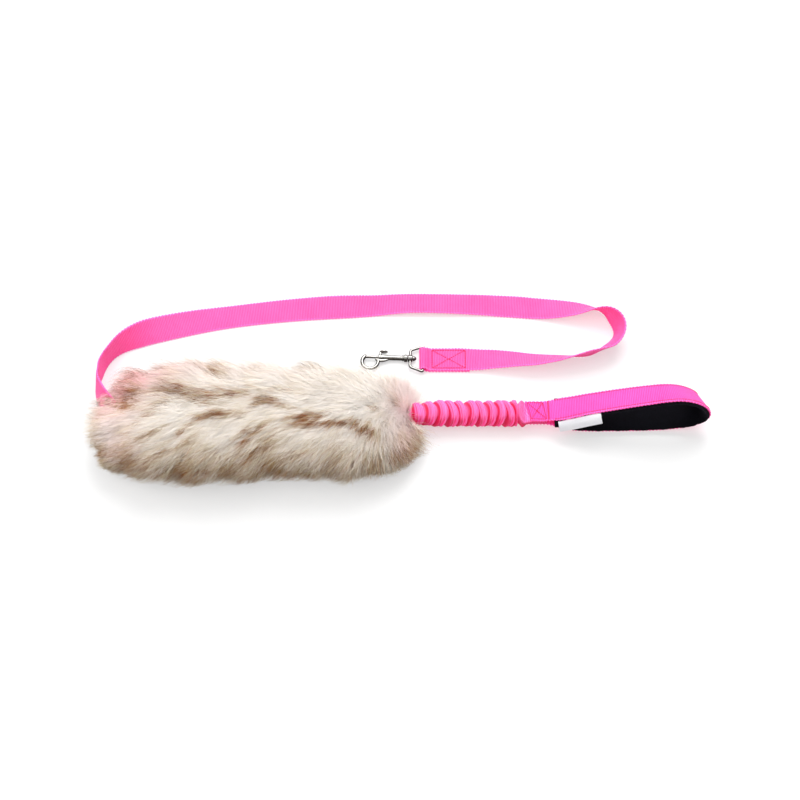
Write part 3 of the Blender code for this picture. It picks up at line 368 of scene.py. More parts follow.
def webbing_material(name, lit, groove_shade, selvedge, painted_fold_shade=None, half_width=STRAP_WIDTH / 2, painted_glow=0.24):
    """Dyed woven nylon: ribs across the strap, yarns along it, dotted selvedges. UVs are metres along and across.

    The rib is a sine of the distance along, the yarn a sine of the distance across, shifted half a turn
    from rib to rib as in a plain weave. Where the weave dips, the colour turns from the lit one to the groove
    shade, a painted shade, and a cloudy noise varies its tone at random. Nylon filament is smooth, so its sheen
    is soft and wide. The painted glow is a constant emission: it stands for the fluorescent dye and is painted
    light that also lifts the red in shaded parts. Light that bounces in a deep fold leaves redder each time,
    which the fold shade colour gives as a painted shade where the piece marks its folds.
    """
    made, tree = new_material(name)
    x, y = uv_xy(tree, "cloth")
    rib = maths(tree, "MULTIPLY", x, TURN / RIB_PITCH)
    rib_wave = maths(tree, "SINE", rib)
    yarn = maths(tree, "MULTIPLY", y, TURN / YARN_PITCH)
    yarn_wave = maths(tree, "SINE", maths(tree, "ADD", yarn, maths(tree, "MULTIPLY", rib, 0.5)))
    weave = ranged(tree, maths(tree, "ADD", rib_wave, yarn_wave), -2.0, 2.0)
    # The weave mixes the lit colour on its tops with the groove shade in its dips, a painted shade; the cloudy noise
    # adds a random tone.
    shade = maths(tree, "MULTIPLY_ADD", weave, 1.50, -0.42)
    shade = maths(tree, "MULTIPLY_ADD", noise(tree, 45.0, 3.0, 0.6), 0.42, shade)
    edge = ranged(tree, maths(tree, "ABSOLUTE", y), half_width - 1.9 * MM, half_width - 0.9 * MM, 0.0, 0.85,
                  "SMOOTHSTEP")
    edge = maths(tree, "MULTIPLY", edge, ranged(tree, rib_wave, -0.6, 0.6, 0.25))
    dye_and_shade = mixed(tree, edge, mixed(tree, shade, groove_shade, lit), selvedge)
    # The fold shade colour is a painted shade, laid where the piece marks it.
    if painted_fold_shade is not None:
        dye_and_shade = mixed(tree, add_node(tree, "Attribute", attribute_name="painted_fold_shade").outputs["Fac"], dye_and_shade, painted_fold_shade)
    # The emission is a painted glow: it stands for the fluorescent dye and lifts the red in shaded parts.
    dress(tree, {"Base Color": dye_and_shade, "Roughness": 0.55, "IOR": 1.53, "Specular IOR Level": 0.4, "Sheen Weight": 0.25,
                 "Sheen Roughness": 0.4, "Sheen Tint": "#E9A6FF", "Emission Color": "#FF1E64",
                 "Emission Strength": painted_glow}, weave, 0.9, 0.35 * MM)
    return made


nylon_pink = webbing_material("woven_nylon_webbing_pink", "#FF78C8", "#FF2A86", "#F68CEA")
print("webbing:", nylon_pink.name, "with", len(nylon_pink.node_tree.nodes), "nodes")

# %% [markdown]
# ## The line that the lead follows
# The strap leaves the fur standing on its edge, swings round the tug, runs flat and slightly
# leaning along the far side, stands up through the end turn and lies down again on the way
# back to the snap. Each row below is a place on the table, the height of the lower edge
# above it and the lean: 0 is flat, 90 is on edge and 180 is turned right over.

# %% Route of the lead
LEAD_ROUTE = [
    (-0.080, -0.0010, 0.0185, 90), (-0.092, -0.0010, 0.0185, 90), (-0.105, -0.0008, 0.0185, 92),
    (-0.117, 0.0034, 0.0180, 102), (-0.128, 0.0125, 0.0160, 112), (-0.1365, 0.0220, 0.0135, 115),
    (-0.143, 0.0310, 0.0105, 114), (-0.148, 0.0405, 0.0070, 110), (-0.1508, 0.0495, 0.0040, 102),
    (-0.1505, 0.0580, 0.0010, 94), (-0.1495, 0.0670, 0, 90), (-0.1465, 0.0760, 0, 90),
    (-0.141, 0.0850, 0, 87), (-0.133, 0.0935, 0, 74), (-0.121, 0.1020, 0, 54), (-0.1045, 0.1105, 0, 32),
    (-0.071, 0.1210, 0, 14), (-0.038, 0.1285, 0, 3), (0.008, 0.1348, 0, 4), (0.047, 0.1380, 0, 8),
    (0.070, 0.1395, 0, 7), (0.098, 0.1418, 0, -1), (0.1275, 0.1432, 0, -8), (0.158, 0.1430, 0, -8),
    (0.198, 0.1420, 0, -3), (0.230, 0.1400, 0, 1), (0.258, 0.1372, 0, -6), (0.281, 0.1348, 0, -24),
    (0.291, 0.1333, 0, -36), (0.300, 0.1315, 0, -51), (0.3075, 0.1287, 0, -68), (0.3140, 0.1245, 0, -88),
    (0.3192, 0.1185, 0, -101), (0.3218, 0.1112, 0, -107), (0.3210, 0.1035, 0, -113),
    (0.3167, 0.0962, 0, -120), (0.3100, 0.0902, 0, -123), (0.3020, 0.0855, 0, -114),
    (0.292, 0.0822, 0, -110), (0.280, 0.0800, 0, -118), (0.266, 0.0787, 0, -131), (0.255, 0.0782, 0, -138),
    (0.244, 0.0780, 0, -145), (0.234, 0.0786, 0, -150), (0.224, 0.0796, 0, -156), (0.214, 0.0804, 0, -162),
    (0.2045, 0.0810, 0, -167), (0.195, 0.0812, 0, -172), (0.186, 0.0812, 0.0009, -176),
    (0.176, 0.0812, 0.0019, -180), (0.166, 0.0812, 0.0019, -180),
]
CLEAR = 0.3 * MM
BAR = np.array([0.1413, 0.0812, 0.00345])
EYE_WIRE = 1.25 * MM
FOLD_RAMP, FOLD_TAIL = 7.5 * MM, 42 * MM


def leaning_line(route, steps):
    """Middle line and width direction of a strap that leans on one edge.

    Its middle is W/2 |sin lean| + T/2 |cos lean| above its lower edge, and its width direction
    is the level sideways direction turned by the lean about the line.
    """
    rows = smooth_line(route, steps)
    lean = np.radians(rows[:, 3])
    height = (STRAP_WIDTH / 2 * np.abs(np.sin(lean)) + STRAP_THICK / 2 * np.abs(np.cos(lean))
              + np.maximum(rows[:, 2], 0))
    middle = np.column_stack([rows[:, :2], height])
    along = direction(middle)
    left = unit(np.cross([0.0, 0.0, 1.0], along))
    over = np.cross(along, left)
    return middle, np.cos(lean)[:, None] * left + np.sin(lean)[:, None] * over


def fold_line():
    """Side view of the fold round the eye's bar: down a ramp, round a circle that clears the wire, and back."""
    radius = EYE_WIRE + CLEAR + STRAP_THICK / 2
    upper, lower = 1.5 * STRAP_THICK + CLEAR, STRAP_THICK / 2
    turn = np.radians([60, 90, 125, 160, 195, 230, 262])
    x = np.concatenate([[FOLD_RAMP, FOLD_RAMP * 2 / 3, FOLD_RAMP / 3], (radius + 0.7 * MM) * np.cos(turn),
                        [FOLD_RAMP / 3, FOLD_RAMP, FOLD_TAIL]])
    z = np.concatenate([[upper, upper + STRAP_THICK / 2, upper + STRAP_THICK * 1.5],
                        BAR[2] + radius * np.sin(turn), [lower, lower, lower]])
    return np.column_stack([BAR[0] + x, np.full(len(x), BAR[1]), z])


middle, across = leaning_line(LEAD_ROUTE, 2)
fold = fold_line()
lead_rows = np.hstack([np.vstack([middle, fold]),
                       np.vstack([across, np.tile([0.0, 1.0, 0.0], (len(fold), 1))]),
                       np.repeat([0.0, 1.0], [len(middle), len(fold)])[:, None]])
lead_rows = evenly(smooth_line(lead_rows, 8), RIB_PITCH / 4)
print(f"lead line: {len(lead_rows)} stations over {distance(lead_rows)[-1]:.3f} m")

# %% [markdown]
# ## From a line to a strap
# A strap is a flat ring of points carried along its line. The lead is cut in three there: the
# free run, the end sewn inside the tug and the fold at the snap. It is drawn in a little where
# it passes through the eye.

# %% Strap along a line
EDGE_TURNS = 11
RIB_SWELL, EDGE_STEP = 0.16 * MM, 0.80 * MM
FREE_START = 38.4 * MM
FOLD_WIDTH = 23.6 * MM
SEAM_X, BACK_RUN, LAST_RUN = 0.1895, 0.65, 0.7


def strap(name, rows, widths, material, start=0.0):
    """Flat strap with rounded edges and ribs: point = middle + a * across + b * normal.

    Each row is the middle and the width direction. Across the strap a = -W/2 cos(t) for t from 0 to pi,
    and b = T/2 (1 - |cos t|^30)^(1/2), above and below. Both faces swell by a sine of the distance along,
    and the edges step out and in once in two ribs.
    """
    middle, across = rows[:, :3], unit(rows[:, 3:6])
    s = distance(middle) + start
    normal = unit(np.cross(direction(middle), across))
    share = -np.cos(np.pi * np.arange(EDGE_TURNS + 1) / EDGE_TURNS)
    crown = np.sqrt(np.maximum(1 - np.abs(share) ** 30, 0))
    a = np.concatenate([share, share[-2:0:-1]])
    b = np.concatenate([crown, -crown[-2:0:-1]])
    half_w = (widths + EDGE_STEP * (np.sin(math.pi * s / RIB_PITCH) - 1)) / 2
    half_t = STRAP_THICK / 2 + RIB_SWELL * (np.sin(TURN * s / RIB_PITCH) - 1) / 2
    points = (middle[:, None, :] + (half_w[:, None] * a[None, :])[..., None] * across[:, None, :]
              + (half_t[:, None] * b[None, :])[..., None] * normal[:, None, :])
    uv = grid_uv(s, np.append(a, a[0]) * np.max(widths) / 2)
    return tube(name, points, material, uv, ((s[0], 0), (s[-1], 0)))


along_lead = distance(lead_rows)
lead_x, in_fold = lead_rows[:, 0], lead_rows[:, 6] > 0.5
near_bar = np.clip((np.abs(lead_x - BAR[0]) - 2.2 * MM) / (2.5 * MM), 0, 1)
near_bar = np.where(in_fold | (lead_x < BAR[0] + 9 * MM) & (along_lead > LAST_RUN), near_bar, 1.0)
lead_widths = FOLD_WIDTH + (STRAP_WIDTH - FOLD_WIDTH) * near_bar
SEAM_CUT = int(np.argmax((lead_x < SEAM_X) & (along_lead > BACK_RUN)))
folded = np.arange(len(lead_rows)) >= SEAM_CUT
free = (along_lead >= FREE_START) & (np.arange(len(lead_rows)) <= SEAM_CUT)
sewn = along_lead <= FREE_START - 1.0 * MM
lead, lead_end, lead_fold = (
    strap(name, lead_rows[part], lead_widths[part], nylon_pink, along_lead[np.argmax(part)])
    for name, part in (("lead_webbing_free", free), ("lead_webbing_sewn_end", sewn), ("lead_webbing_fold", folded)))
for piece in (lead, lead_end, lead_fold):
    belongs(piece, "tug", "lead_webbing")
print("lead faces:", len(lead.data.polygons), "free part", round(float(along_lead[SEAM_CUT] - FREE_START), 3), "m")

# %% [markdown]
# ## Seams of thick polyester thread
# Each seam is a lock stitch: short rounded loops of thread that dip into the cloth at both
# ends. A loop is a tiny tube that swells in its middle, and one array holds all the loops of
# a seam, so a hundred stitches cost no more code than one.

# %% Thread material and stitches
THREAD_RADIUS = 0.40 * MM
STITCH = 2.3 * MM
SNAP_SEAM_START, SNAP_SEAM_LENGTH, SNAP_SEAM_WIDTH = 8.0 * MM, 30.3 * MM, 19.0 * MM


def yarn_material(name, light, dark, wave, numbers, bands="DIAGONAL", bump=(0.5, 0.3 * MM)):
    """Plain yarn on object coordinates: bands of light and dark yarn with a bump of the same bands.

    wave holds the bands' scale, distortion and detail.
    """
    made, tree = new_material(name)
    place = add_node(tree, "TexCoord").outputs["Object"]
    ply = add_node(tree, "TexWave", {"Vector": place, "Scale": wave[0], "Distortion": wave[1], "Detail": wave[2]},
                   bands_direction=bands).outputs["Fac"]
    dress(tree, {"Base Color": mixed(tree, ply, dark, light), "Sheen Weight": 0.2, **numbers}, ply, *bump)
    return made


# Two plies show as fine slanting lines, with the dull gloss of trilobal polyester fibre.
pink_thread = yarn_material("twisted_polyester_thread_pink", "#FF2F86", "#CF0F58", (420.0, 1.5, 1.0),
                            {"Roughness": 0.45, "IOR": 1.57}, bump=(0.3, 0.1 * MM))


def legs(corners, length=STITCH):
    """Cut each straight leg between corners into equal stitches: returns their first and last points."""
    corners = np.array(corners, float)
    firsts, lasts = [], []
    for a, b in zip(corners[:-1], corners[1:]):
        count = max(1, int(round(np.linalg.norm(b - a) / length)))
        row = a + (b - a) * np.linspace(0, 1, count + 1)[:, None]
        firsts.append(row[:-1])
        lasts.append(row[1:])
    return np.vstack(firsts), np.vstack(lasts)


def thread(name, firsts, lasts, normals, radius=THREAD_RADIUS, gap=0.16):
    """Stitch tube: centre = first + t (last - first) + normal * rise * sin(pi t), radius * sin(pi t)^(1/4)."""
    t = np.array([0.0, 0.06, 0.2, 0.5, 0.8, 0.94, 1.0])
    swell = np.array([0.45, 0.75, 0.95, 1.0, 0.95, 0.75, 0.45])
    rise = np.array([-0.9, -0.1, 0.45, 0.7, 0.45, -0.1, -0.9]) * radius
    angle = TURN * np.arange(6) / 6
    span = (lasts - firsts) * (1 - gap)
    along = unit(span)
    side = unit(np.cross(normals, along))
    top = np.cross(along, side)
    centre = (firsts[:, None] + span[:, None] * (t[None, :, None] + gap / 2 / (1 - gap))
              + top[:, None] * rise[None, :, None])
    ring = side[:, None, :] * np.cos(angle)[None, :, None] + top[:, None, :] * np.sin(angle)[None, :, None]
    points = centre[:, :, None, :] + ring[:, None] * (radius * swell)[None, :, None, None]
    count, rings, sides = points.shape[:3]
    shift = (np.arange(count) * rings * sides)[:, None, None]
    faces = [(one[None] + shift).reshape(-1, one.shape[1]) for one in tube_faces(rings, sides)]
    return outward(put_mesh(name, points.reshape(-1, 3), faces, pink_thread))


def box_x(centre, along, across, length, width):
    """Corners of a box seam and its two diagonals on a plane, as one run of the machine."""
    c, a, b = np.array(centre), np.array(along) * length / 2, np.array(across) * width / 2
    return [c - a - b, c + a - b, c + a + b, c - a + b, c - a - b, c + a + b, c + a - b, c - a + b]


snap_seam_middle = (BAR[0] + SNAP_SEAM_START + SNAP_SEAM_LENGTH / 2, BAR[1], 2 * STRAP_THICK + CLEAR + 0.05 * MM)
firsts, lasts = legs(box_x(snap_seam_middle, (1, 0, 0), (0, 1, 0), SNAP_SEAM_LENGTH, SNAP_SEAM_WIDTH))
snap_seam = thread("snap_end_box_stitching", firsts, lasts, np.tile([0.0, 0.0, 1.0], (len(firsts), 1)))
belongs(snap_seam, "tug", "snap_end_stitching")
print("stitches at the snap end:", len(firsts))

# %% [markdown]
# ## The gathered bungee sleeve
# A rubber cord pulls a longer tube of webbing together, so the tube heaps up in ten rounded
# gathers with sharp creases between them, and two more inside the fur. Each gather is a tilted
# ring: it leans over towards the handle on top and trails back underneath, where it is pinched.
# The tube is a radius that depends on the place along it and round it, and the weave is laid
# along its folded surface, so the ribs of the cloth follow every gather round. The folds between
# the gathers, the rib grooves and the underside are painted a deep red, a painted shade.

# %% Sleeve surface
BUNGEE = np.array([0.0, 0.0185, 0.0130])
GATHER_START = 0.1385
GATHERS, HIDDEN = 10, 2
PITCH_FIRST, PITCH_LAST = 10.0 * MM, 7.0 * MM
GATHER_END = GATHER_START + GATHERS * (PITCH_FIRST + PITCH_LAST) / 2
CREST, VALLEY = 11.8 * MM, 7.6 * MM
LEAN, LEAN_FROM, UNDERSIDE = 4.6 * MM, math.radians(-35), math.radians(112)
TAIL_START = GATHER_END + 6.0 * MM
TAIL_END = TAIL_START + 19.8 * MM
TAIL_HALF_WIDTH, TAIL_HALF_THICK = 9.75 * MM, 1.5 * MM
CLOTH_HALF_ROUND = 0.03
AROUND = 120
PER_GATHER = 30


def smooth_step(x):
    """0 below 0, 1 above 1, and 3x^2 - 2x^3 between."""
    x = np.clip(x, 0, 1)
    return x * x * (3 - 2 * x)


def sleeve_rings(middle_x, half_w, half_h, angle, power=2.0):
    """Rings round the bungee's line: y = w |sin|^(2/power) and z = h |cos|^(2/power), each with its sign."""
    s, c = np.sin(angle), np.cos(angle)
    return np.stack([middle_x, BUNGEE[1] + half_w * np.sign(s) * np.abs(s) ** (2 / power),
                     BUNGEE[2] + half_h * np.sign(c) * np.abs(c) ** (2 / power)], axis=-1)


# Its last colour, a deep red, is the painted fold shade.
sleeve_pink = webbing_material("woven_tubular_webbing_pink", "#FF9ADC", "#FF52AC", "#FF9ADC", "#C80038", 1.0)
chance = np.random.default_rng(41)
gather_size = 1 + 0.10 * chance.uniform(-1, 1, GATHERS + HIDDEN)
gather_lean = 1 + 0.15 * chance.uniform(-1, 1, GATHERS + HIDDEN)
gather_turn = 0.30 * chance.uniform(-1, 1, GATHERS + HIDDEN)

g = np.concatenate([np.linspace(-HIDDEN, 0, HIDDEN * PER_GATHER, endpoint=False),
                    np.linspace(0, GATHERS, GATHERS * PER_GATHER + 1)])
round_angle = TURN * np.arange(AROUND) / AROUND
G, A = np.meshgrid(g, round_angle, indexing="ij")
which = np.clip(np.floor(G).astype(int) + HIDDEN, 0, GATHERS + HIDDEN - 1)
place_in = G - np.floor(G)
lean = (LEAN * gather_lean[which] * np.cos(A - LEAN_FROM - gather_turn[which])
        * np.clip((G + HIDDEN) / 2.2, 0, 1) * np.clip((GATHERS - G) / 0.8, 0, 1))
lobe = np.abs(np.sin(math.pi * place_in ** 1.35)) ** 0.5
under = np.clip((np.cos(A + UNDERSIDE) - 0.30) / 0.40, 0, 1)
curl = np.abs(np.sin(TURN * np.interp(place_in, [0, 0.68, 1], [0, 0.5, 1])))
lobe = lobe + 0.9 * under * (0.05 + curl - lobe)
amount = (CREST - VALLEY) * gather_size[which] * (0.90 + 0.10 * np.cos(A)) * np.clip(0.62 + 0.38 * G, 0.55, 1)
ribs = np.cos(4 * TURN * place_in)
radius = VALLEY + amount * np.clip(lobe, 0, 1.06) + (0.20 * np.sin(5 * A + 2.2 * G) + 0.45 * ribs) * MM
base_x = GATHER_START + PITCH_FIRST * G + (PITCH_LAST - PITCH_FIRST) * np.maximum(G, 0) ** 2 / (2 * GATHERS)
gathers = sleeve_rings(base_x + lean, radius, radius, A)
# Painted shade: deep red in the folds between gathers, on the underside and in the rib grooves.
painted_fold_shade = np.clip(np.maximum(1.15 - 2.6 * place_in, 12 * place_in - 11) + 0.60 * under - 0.30 * ribs, 0, 1)

T, A = np.meshgrid(np.linspace(0, 1, 46)[1:], round_angle, indexing="ij")
flat = smooth_step(T / 0.24)
swell = 2.4 * MM * np.exp(-((T - 0.14) / 0.13) ** 2)
wrinkle = 0.7 * MM * np.sin(7 * A + 9 * T) * np.sin(math.pi * np.clip(T / 0.3, 0, 1))
tail = sleeve_rings(GATHER_END + (TAIL_END - GATHER_END) * T,
                    VALLEY + (TAIL_HALF_WIDTH - VALLEY) * flat + swell + wrinkle,
                    VALLEY + (TAIL_HALF_THICK - VALLEY) * flat + 0.8 * swell + wrinkle, A, 2.0 + 3.0 * flat)
# Painted shade on the near underside of the tail and where it leaves the gathers.
painted_tail_shade = np.clip(1.2 * np.cos(A + math.radians(128)), 0.2 * np.clip(1 - T / 0.3, 0, 1), 1)

surface = np.concatenate([gathers, tail])
fold_length = np.linalg.norm(np.diff(surface, axis=0), axis=-1).mean(axis=1)
along_cloth = np.concatenate([[0], np.cumsum(fold_length)]) * 0.8
sleeve = tube("bungee_gathered_sleeve", surface, sleeve_pink,
              grid_uv(along_cloth, np.linspace(-CLOTH_HALF_ROUND, CLOTH_HALF_ROUND, AROUND + 1)))
point_values(sleeve, "painted_fold_shade", np.concatenate([painted_fold_shade, painted_tail_shade]))
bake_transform(sleeve)
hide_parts("bungee_sleeve")
print("sleeve faces:", len(sleeve.data.polygons), "cloth length", round(float(along_cloth[-1]), 3), "m")

# %% [markdown]
# ## The padded handle
# The handle is a loop of the same webbing with a strip of black fleece inside it for the
# hand. Both ends of the loop are sewn to the sleeve's flat tail, one above and one below.
# The loop lies on its lower run and leans away from the viewer at its rounded end. Its webbing
# takes its own copy of the lead's material, a little colder in pink and brighter from more painted glow.

# %% Line of the handle
HANDLE_Y = 0.0195
JOIN_LENGTH, JOIN_WIDTH = 20.5 * MM, 21.0 * MM
LOOP_LENGTH, LOOP_HEIGHT, LOOP_SWAY = 0.137, 0.047, 3.0 * MM
HANDLE_ROLL = -22.0
SLANT = 0.31
TAIL_GAP = TAIL_HALF_THICK + 2 * CLEAR
# Shares of the loop's length and height, and of its full roll.
LOOP_SHARES = np.array([
    (0.12, 0.450, 0.3), (0.26, 0.620, 0.5), (0.445, 0.795, 0.6), (0.632, 0.935, 0.75),
    (0.735, 0.985, 0.9), (0.83, 0.960, 1.1), (0.917, 0.825, 1.2), (0.977, 0.638, 1.2), (1.00, 0.455, 1.15),
    (0.987, 0.300, 1.0), (0.938, 0.165, 0.6), (0.868, 0.075, 0.2), (0.79, 0.022, 0.0), (0.71, 0.004, 0.0),
    (0.64, 0.000, 0.0), (0.50, 0.000, 0.0), (0.32, 0.000, 0.0), (0.25, 0.008, 0.0), (0.17, 0.045, 0.0),
    (0.07, 0.150, 0.0)])


def handle_line():
    """The loop seen from the side, read from shares of its length and height, with its roll about the line.

    The width direction is cos(roll) * sideways + sin(roll) * outward, so the rolled end leans over.
    """
    half = STRAP_THICK / 2
    join = TAIL_START + JOIN_LENGTH * np.array([0.0, 0.40, 0.88])
    loop = np.column_stack([TAIL_START + JOIN_LENGTH + LOOP_SHARES[:, 0] * (LOOP_LENGTH - half),
                            half + LOOP_SHARES[:, 1] * (LOOP_HEIGHT - STRAP_THICK),
                            LOOP_SHARES[:, 2], LOOP_SWAY * LOOP_SHARES[:, 0] ** 3])
    first = np.column_stack([join, np.full(3, BUNGEE[2] + TAIL_GAP + half), np.zeros(3), np.zeros(3)])
    last = np.column_stack([join[::-1], np.full(3, BUNGEE[2] - TAIL_GAP - half), np.zeros(3), np.zeros(3)])
    rows = smooth_line(np.vstack([first, loop, last]), 24)
    middle = np.column_stack([rows[:, 0], HANDLE_Y + rows[:, 3], rows[:, 1]])
    outside = unit(np.cross(direction(middle), [0.0, 1.0, 0.0]))
    roll = np.radians(HANDLE_ROLL * rows[:, 2])[:, None]
    across = np.cos(roll) * np.array([0.0, 1.0, 0.0]) + np.sin(roll) * outside
    return evenly(np.hstack([middle, across]), RIB_PITCH / 4)


# The handle's own copy of the webbing: a little colder pink, with more painted glow.
handle_pink = webbing_material("woven_nylon_webbing_pink_handle", "#FF6CD6", "#FF1E8E", "#FF8CEC", painted_glow=0.34)
handle_rows = handle_line()
along_handle = distance(handle_rows)
handle_rows[:, 3] -= SLANT * np.clip(1 - along_handle / JOIN_LENGTH, 0, 1)
handle_total = along_handle[-1]
from_end = np.minimum(along_handle, handle_total - along_handle)
handle_widths = np.interp(from_end, [JOIN_LENGTH, JOIN_LENGTH + 14 * MM], [JOIN_WIDTH, STRAP_WIDTH])
cut = along_handle > SLANT * JOIN_WIDTH / 2
handle = strap("handle_webbing_loop", handle_rows[cut], handle_widths[cut], handle_pink)
belongs(handle, "handle", "handle_webbing")
print("handle line:", round(float(handle_total), 3), "m")

# %% [markdown]
# ## Black fleece inside the loop
# Polar fleece is knitted polyester whose surface is brushed up into a short, matt nap. It
# shows as a deep black with a faint grey bloom where it turns away from the eye, which the
# sheen gives, and its cut edges are soft and slightly uneven.

# %% Fleece material and lining
fleece_black, tree = new_material("brushed_polyester_fleece_black")
nap = maths(tree, "MULTIPLY", noise(tree, 900.0, 4.0, 0.7), noise(tree, 140.0, 2.0))
dress(tree, {"Base Color": ramp(tree, nap, [(0.10, "#030306"), (0.45, "#0A0A11")]), "Roughness": 1.0,
             "Specular IOR Level": 0.15, "Sheen Weight": 0.07, "Sheen Roughness": 0.6, "Sheen Tint": "#8A7FA0"},
      nap, 0.8, 0.5 * MM)

LINING_THICK, LINING_WIDTH = 2.8 * MM, 25.8 * MM
LINING_START = JOIN_LENGTH + 6 * MM


def part_of(rows, start, end):
    """The rows of a line between two distances along it."""
    s = distance(rows)
    return rows[(s >= start) & (s <= end)]


def soft_strip(name, middle, across, width, thick, material):
    """Padded strip: section = superellipse |a|^9 + |b|^3.2 = 1, with its edges worn uneven by a few slow sines."""
    s = distance(middle)
    normal = unit(np.cross(direction(middle), across))
    angle = TURN * np.arange(40) / 40
    c, d = np.cos(angle), np.sin(angle)
    a = np.sign(c) * np.abs(c) ** (2 / 9)
    b = np.sign(d) * np.abs(d) ** (2 / 3.2)
    wander = (0.20 * np.sin(s / (3.1 * MM)) + 0.14 * np.sin(s / (1.3 * MM) + 1) + 0.10 * np.sin(s / (0.7 * MM))) * MM
    worn = 1 + 0.05 * np.sin(s[:, None] / (1.9 * MM) + 5 * angle[None, :])
    return tube(name, middle[:, None] + ((width / 2 + wander)[:, None] * a[None])[..., None] * across[:, None]
                + (thick / 2 * b[None] * worn)[..., None] * normal[:, None], material)


lining_rows = part_of(handle_rows, LINING_START, handle_total - LINING_START)
lining_across = unit(lining_rows[:, 3:6])
lining_normal = unit(np.cross(direction(lining_rows[:, :3]), lining_across))
inside = STRAP_THICK / 2 + 0.1 * MM + LINING_THICK / 2
lining = soft_strip("handle_fleece_lining", lining_rows[:, :3] - lining_normal * inside, lining_across,
                    LINING_WIDTH, LINING_THICK, fleece_black)
belongs(lining, "handle", "handle_lining")
print("lining faces:", len(lining.data.polygons))

# %% [markdown]
# ## Stitching on the handle
# A box seam holds the upper layer to the sleeve's tail, a dense zigzag bar tack closes the
# start of the loop, and two rows near the edges hold the fleece in.

# %% Handle seams
FINE_THREAD = 0.34 * MM
JOIN_SEAM_START, JOIN_SEAM_LENGTH, JOIN_SEAM_WIDTH = 4.3 * MM, 13.5 * MM, 16.5 * MM
TACK_LENGTH, TACK_HALF_WIDTH, TACK_STROKES = 1.5 * MM, 9.5 * MM, 30
EDGE_SEAM_END, EDGE_SEAM_INSET = 0.184, 2.6 * MM
handle_normal = unit(np.cross(direction(handle_rows[:, :3]), handle_rows[:, 3:6]))
join_middle = (TAIL_START + JOIN_SEAM_START + JOIN_SEAM_LENGTH / 2, HANDLE_Y,
               BUNGEE[2] + TAIL_GAP + STRAP_THICK + 0.05 * MM)
firsts, lasts = legs(box_x(join_middle, (1, 0, 0), (-0.6 * SLANT, 1, 0), JOIN_SEAM_LENGTH, JOIN_SEAM_WIDTH), 1.9 * MM)
join_seam = thread("join_box_stitching", firsts, lasts, np.tile([0.0, 0.0, 1.0], (len(firsts), 1)), FINE_THREAD)

tack_start, tack_end = (int(np.argmin(np.abs(along_handle - JOIN_LENGTH - ahead))) for ahead in (0, TACK_LENGTH))
tack_rows = np.where(np.arange(TACK_STROKES + 1) % 2 == 0, tack_start, tack_end)
spread = np.linspace(-TACK_HALF_WIDTH, TACK_HALF_WIDTH, TACK_STROKES + 1)[:, None]
zigzag = (handle_rows[tack_rows, :3] + handle_rows[tack_rows, 3:6] * spread
          + handle_normal[tack_rows] * (STRAP_THICK / 2 + 0.12 * MM))
tack = thread("bar_tack_zigzag", zigzag[:-1], zigzag[1:], handle_normal[tack_rows[:-1]], 0.30 * MM, gap=0.02)

rows = evenly(part_of(np.hstack([handle_rows, handle_normal]), LINING_START, EDGE_SEAM_END), STITCH)
inset = STRAP_WIDTH / 2 - EDGE_SEAM_INSET
lines = [rows[:, :3] + rows[:, 3:6] * inset * side + rows[:, 6:9] * (STRAP_THICK / 2 + 0.02 * MM) for side in (-1, 1)]
edge_seam = thread("lining_edge_stitching", np.vstack([line[:-1] for line in lines]),
                   np.vstack([line[1:] for line in lines]), np.vstack([rows[:-1, 6:9]] * 2), FINE_THREAD)
for piece, node in ((join_seam, "join_stitching"), (tack, "bar_tack"), (edge_seam, "lining_stitching")):
    belongs(piece, "handle", node)
print("handle seams:", join_seam.name, tack.name, edge_seam.name)

# %% [markdown]
# ## The side tag
# A small tag of white satin ribbon is caught between the webbing and the fleece and hangs
# from the near edge. It is left bare. Satin floats its weft over many warp threads, so it is
# smooth, with a soft shine in one direction.

# %% Tag
satin_white, tree = new_material("woven_satin_ribbon_white")
uv = add_node(tree, "UVMap", uv_map="cloth")
weft = add_node(tree, "TexWave", {"Vector": uv.outputs[0], "Scale": 900.0, "Distortion": 0.4},
                bands_direction="Y").outputs["Fac"]
dress(tree, {"Base Color": mixed(tree, weft, "#E6E6EC", "#F7F7FA"), "Roughness": 0.42, "IOR": 1.54,
             "Sheen Weight": 0.3}, weft, 0.15, 0.1 * MM)

TAG_THICK, TAG_DROP, TAG_TUCK = 0.6 * MM, 8.0 * MM, 5 * MM
TAG_START, TAG_END = 8.5 * MM, 47 * MM
TAG_SLOPE = math.radians(48)
TAG_EDGE = -13.1 * MM
tag_rows = part_of(handle_rows, JOIN_LENGTH + TAG_START, JOIN_LENGTH + TAG_END)
tag_across = unit(tag_rows[:, 3:6])
tag_normal = unit(np.cross(direction(tag_rows[:, :3]), tag_across))
bend = np.linspace(0, 1, 9)[1:]
out = np.concatenate([[TAG_EDGE + TAG_TUCK, TAG_EDGE], TAG_EDGE - TAG_DROP * math.cos(TAG_SLOPE) * bend])
down = np.concatenate([[0.0, 0.0], TAG_DROP * (math.sin(TAG_SLOPE) * bend - 0.10 * np.sin(math.pi * bend))])
curl = np.sin(np.linspace(0, math.pi, len(tag_rows)))[:, None] * (0.5 * MM)
under = STRAP_THICK / 2 + CLEAR + TAG_THICK / 2
sheet = (tag_rows[:, None, :3] + tag_across[:, None] * out[None, :, None]
         - tag_normal[:, None] * (under + down[None, :] + curl * (down > 0)[None, :])[..., None])
face = unit(np.cross(np.gradient(sheet, axis=0), np.gradient(sheet, axis=1))) * TAG_THICK / 2
shell = np.concatenate([sheet + face, (sheet - face)[:, ::-1]], axis=1)
tag = tube("satin_side_tag", shell, satin_white,
           grid_uv(distance(tag_rows), np.linspace(0, 0.03, shell.shape[1] + 1)))
tag.data.set_sharp_from_angle(angle=math.radians(50))
belongs(tag, "handle", "label_tag")
print("tag size in mm:", [round(1000 * d, 1) for d in tag.dimensions])
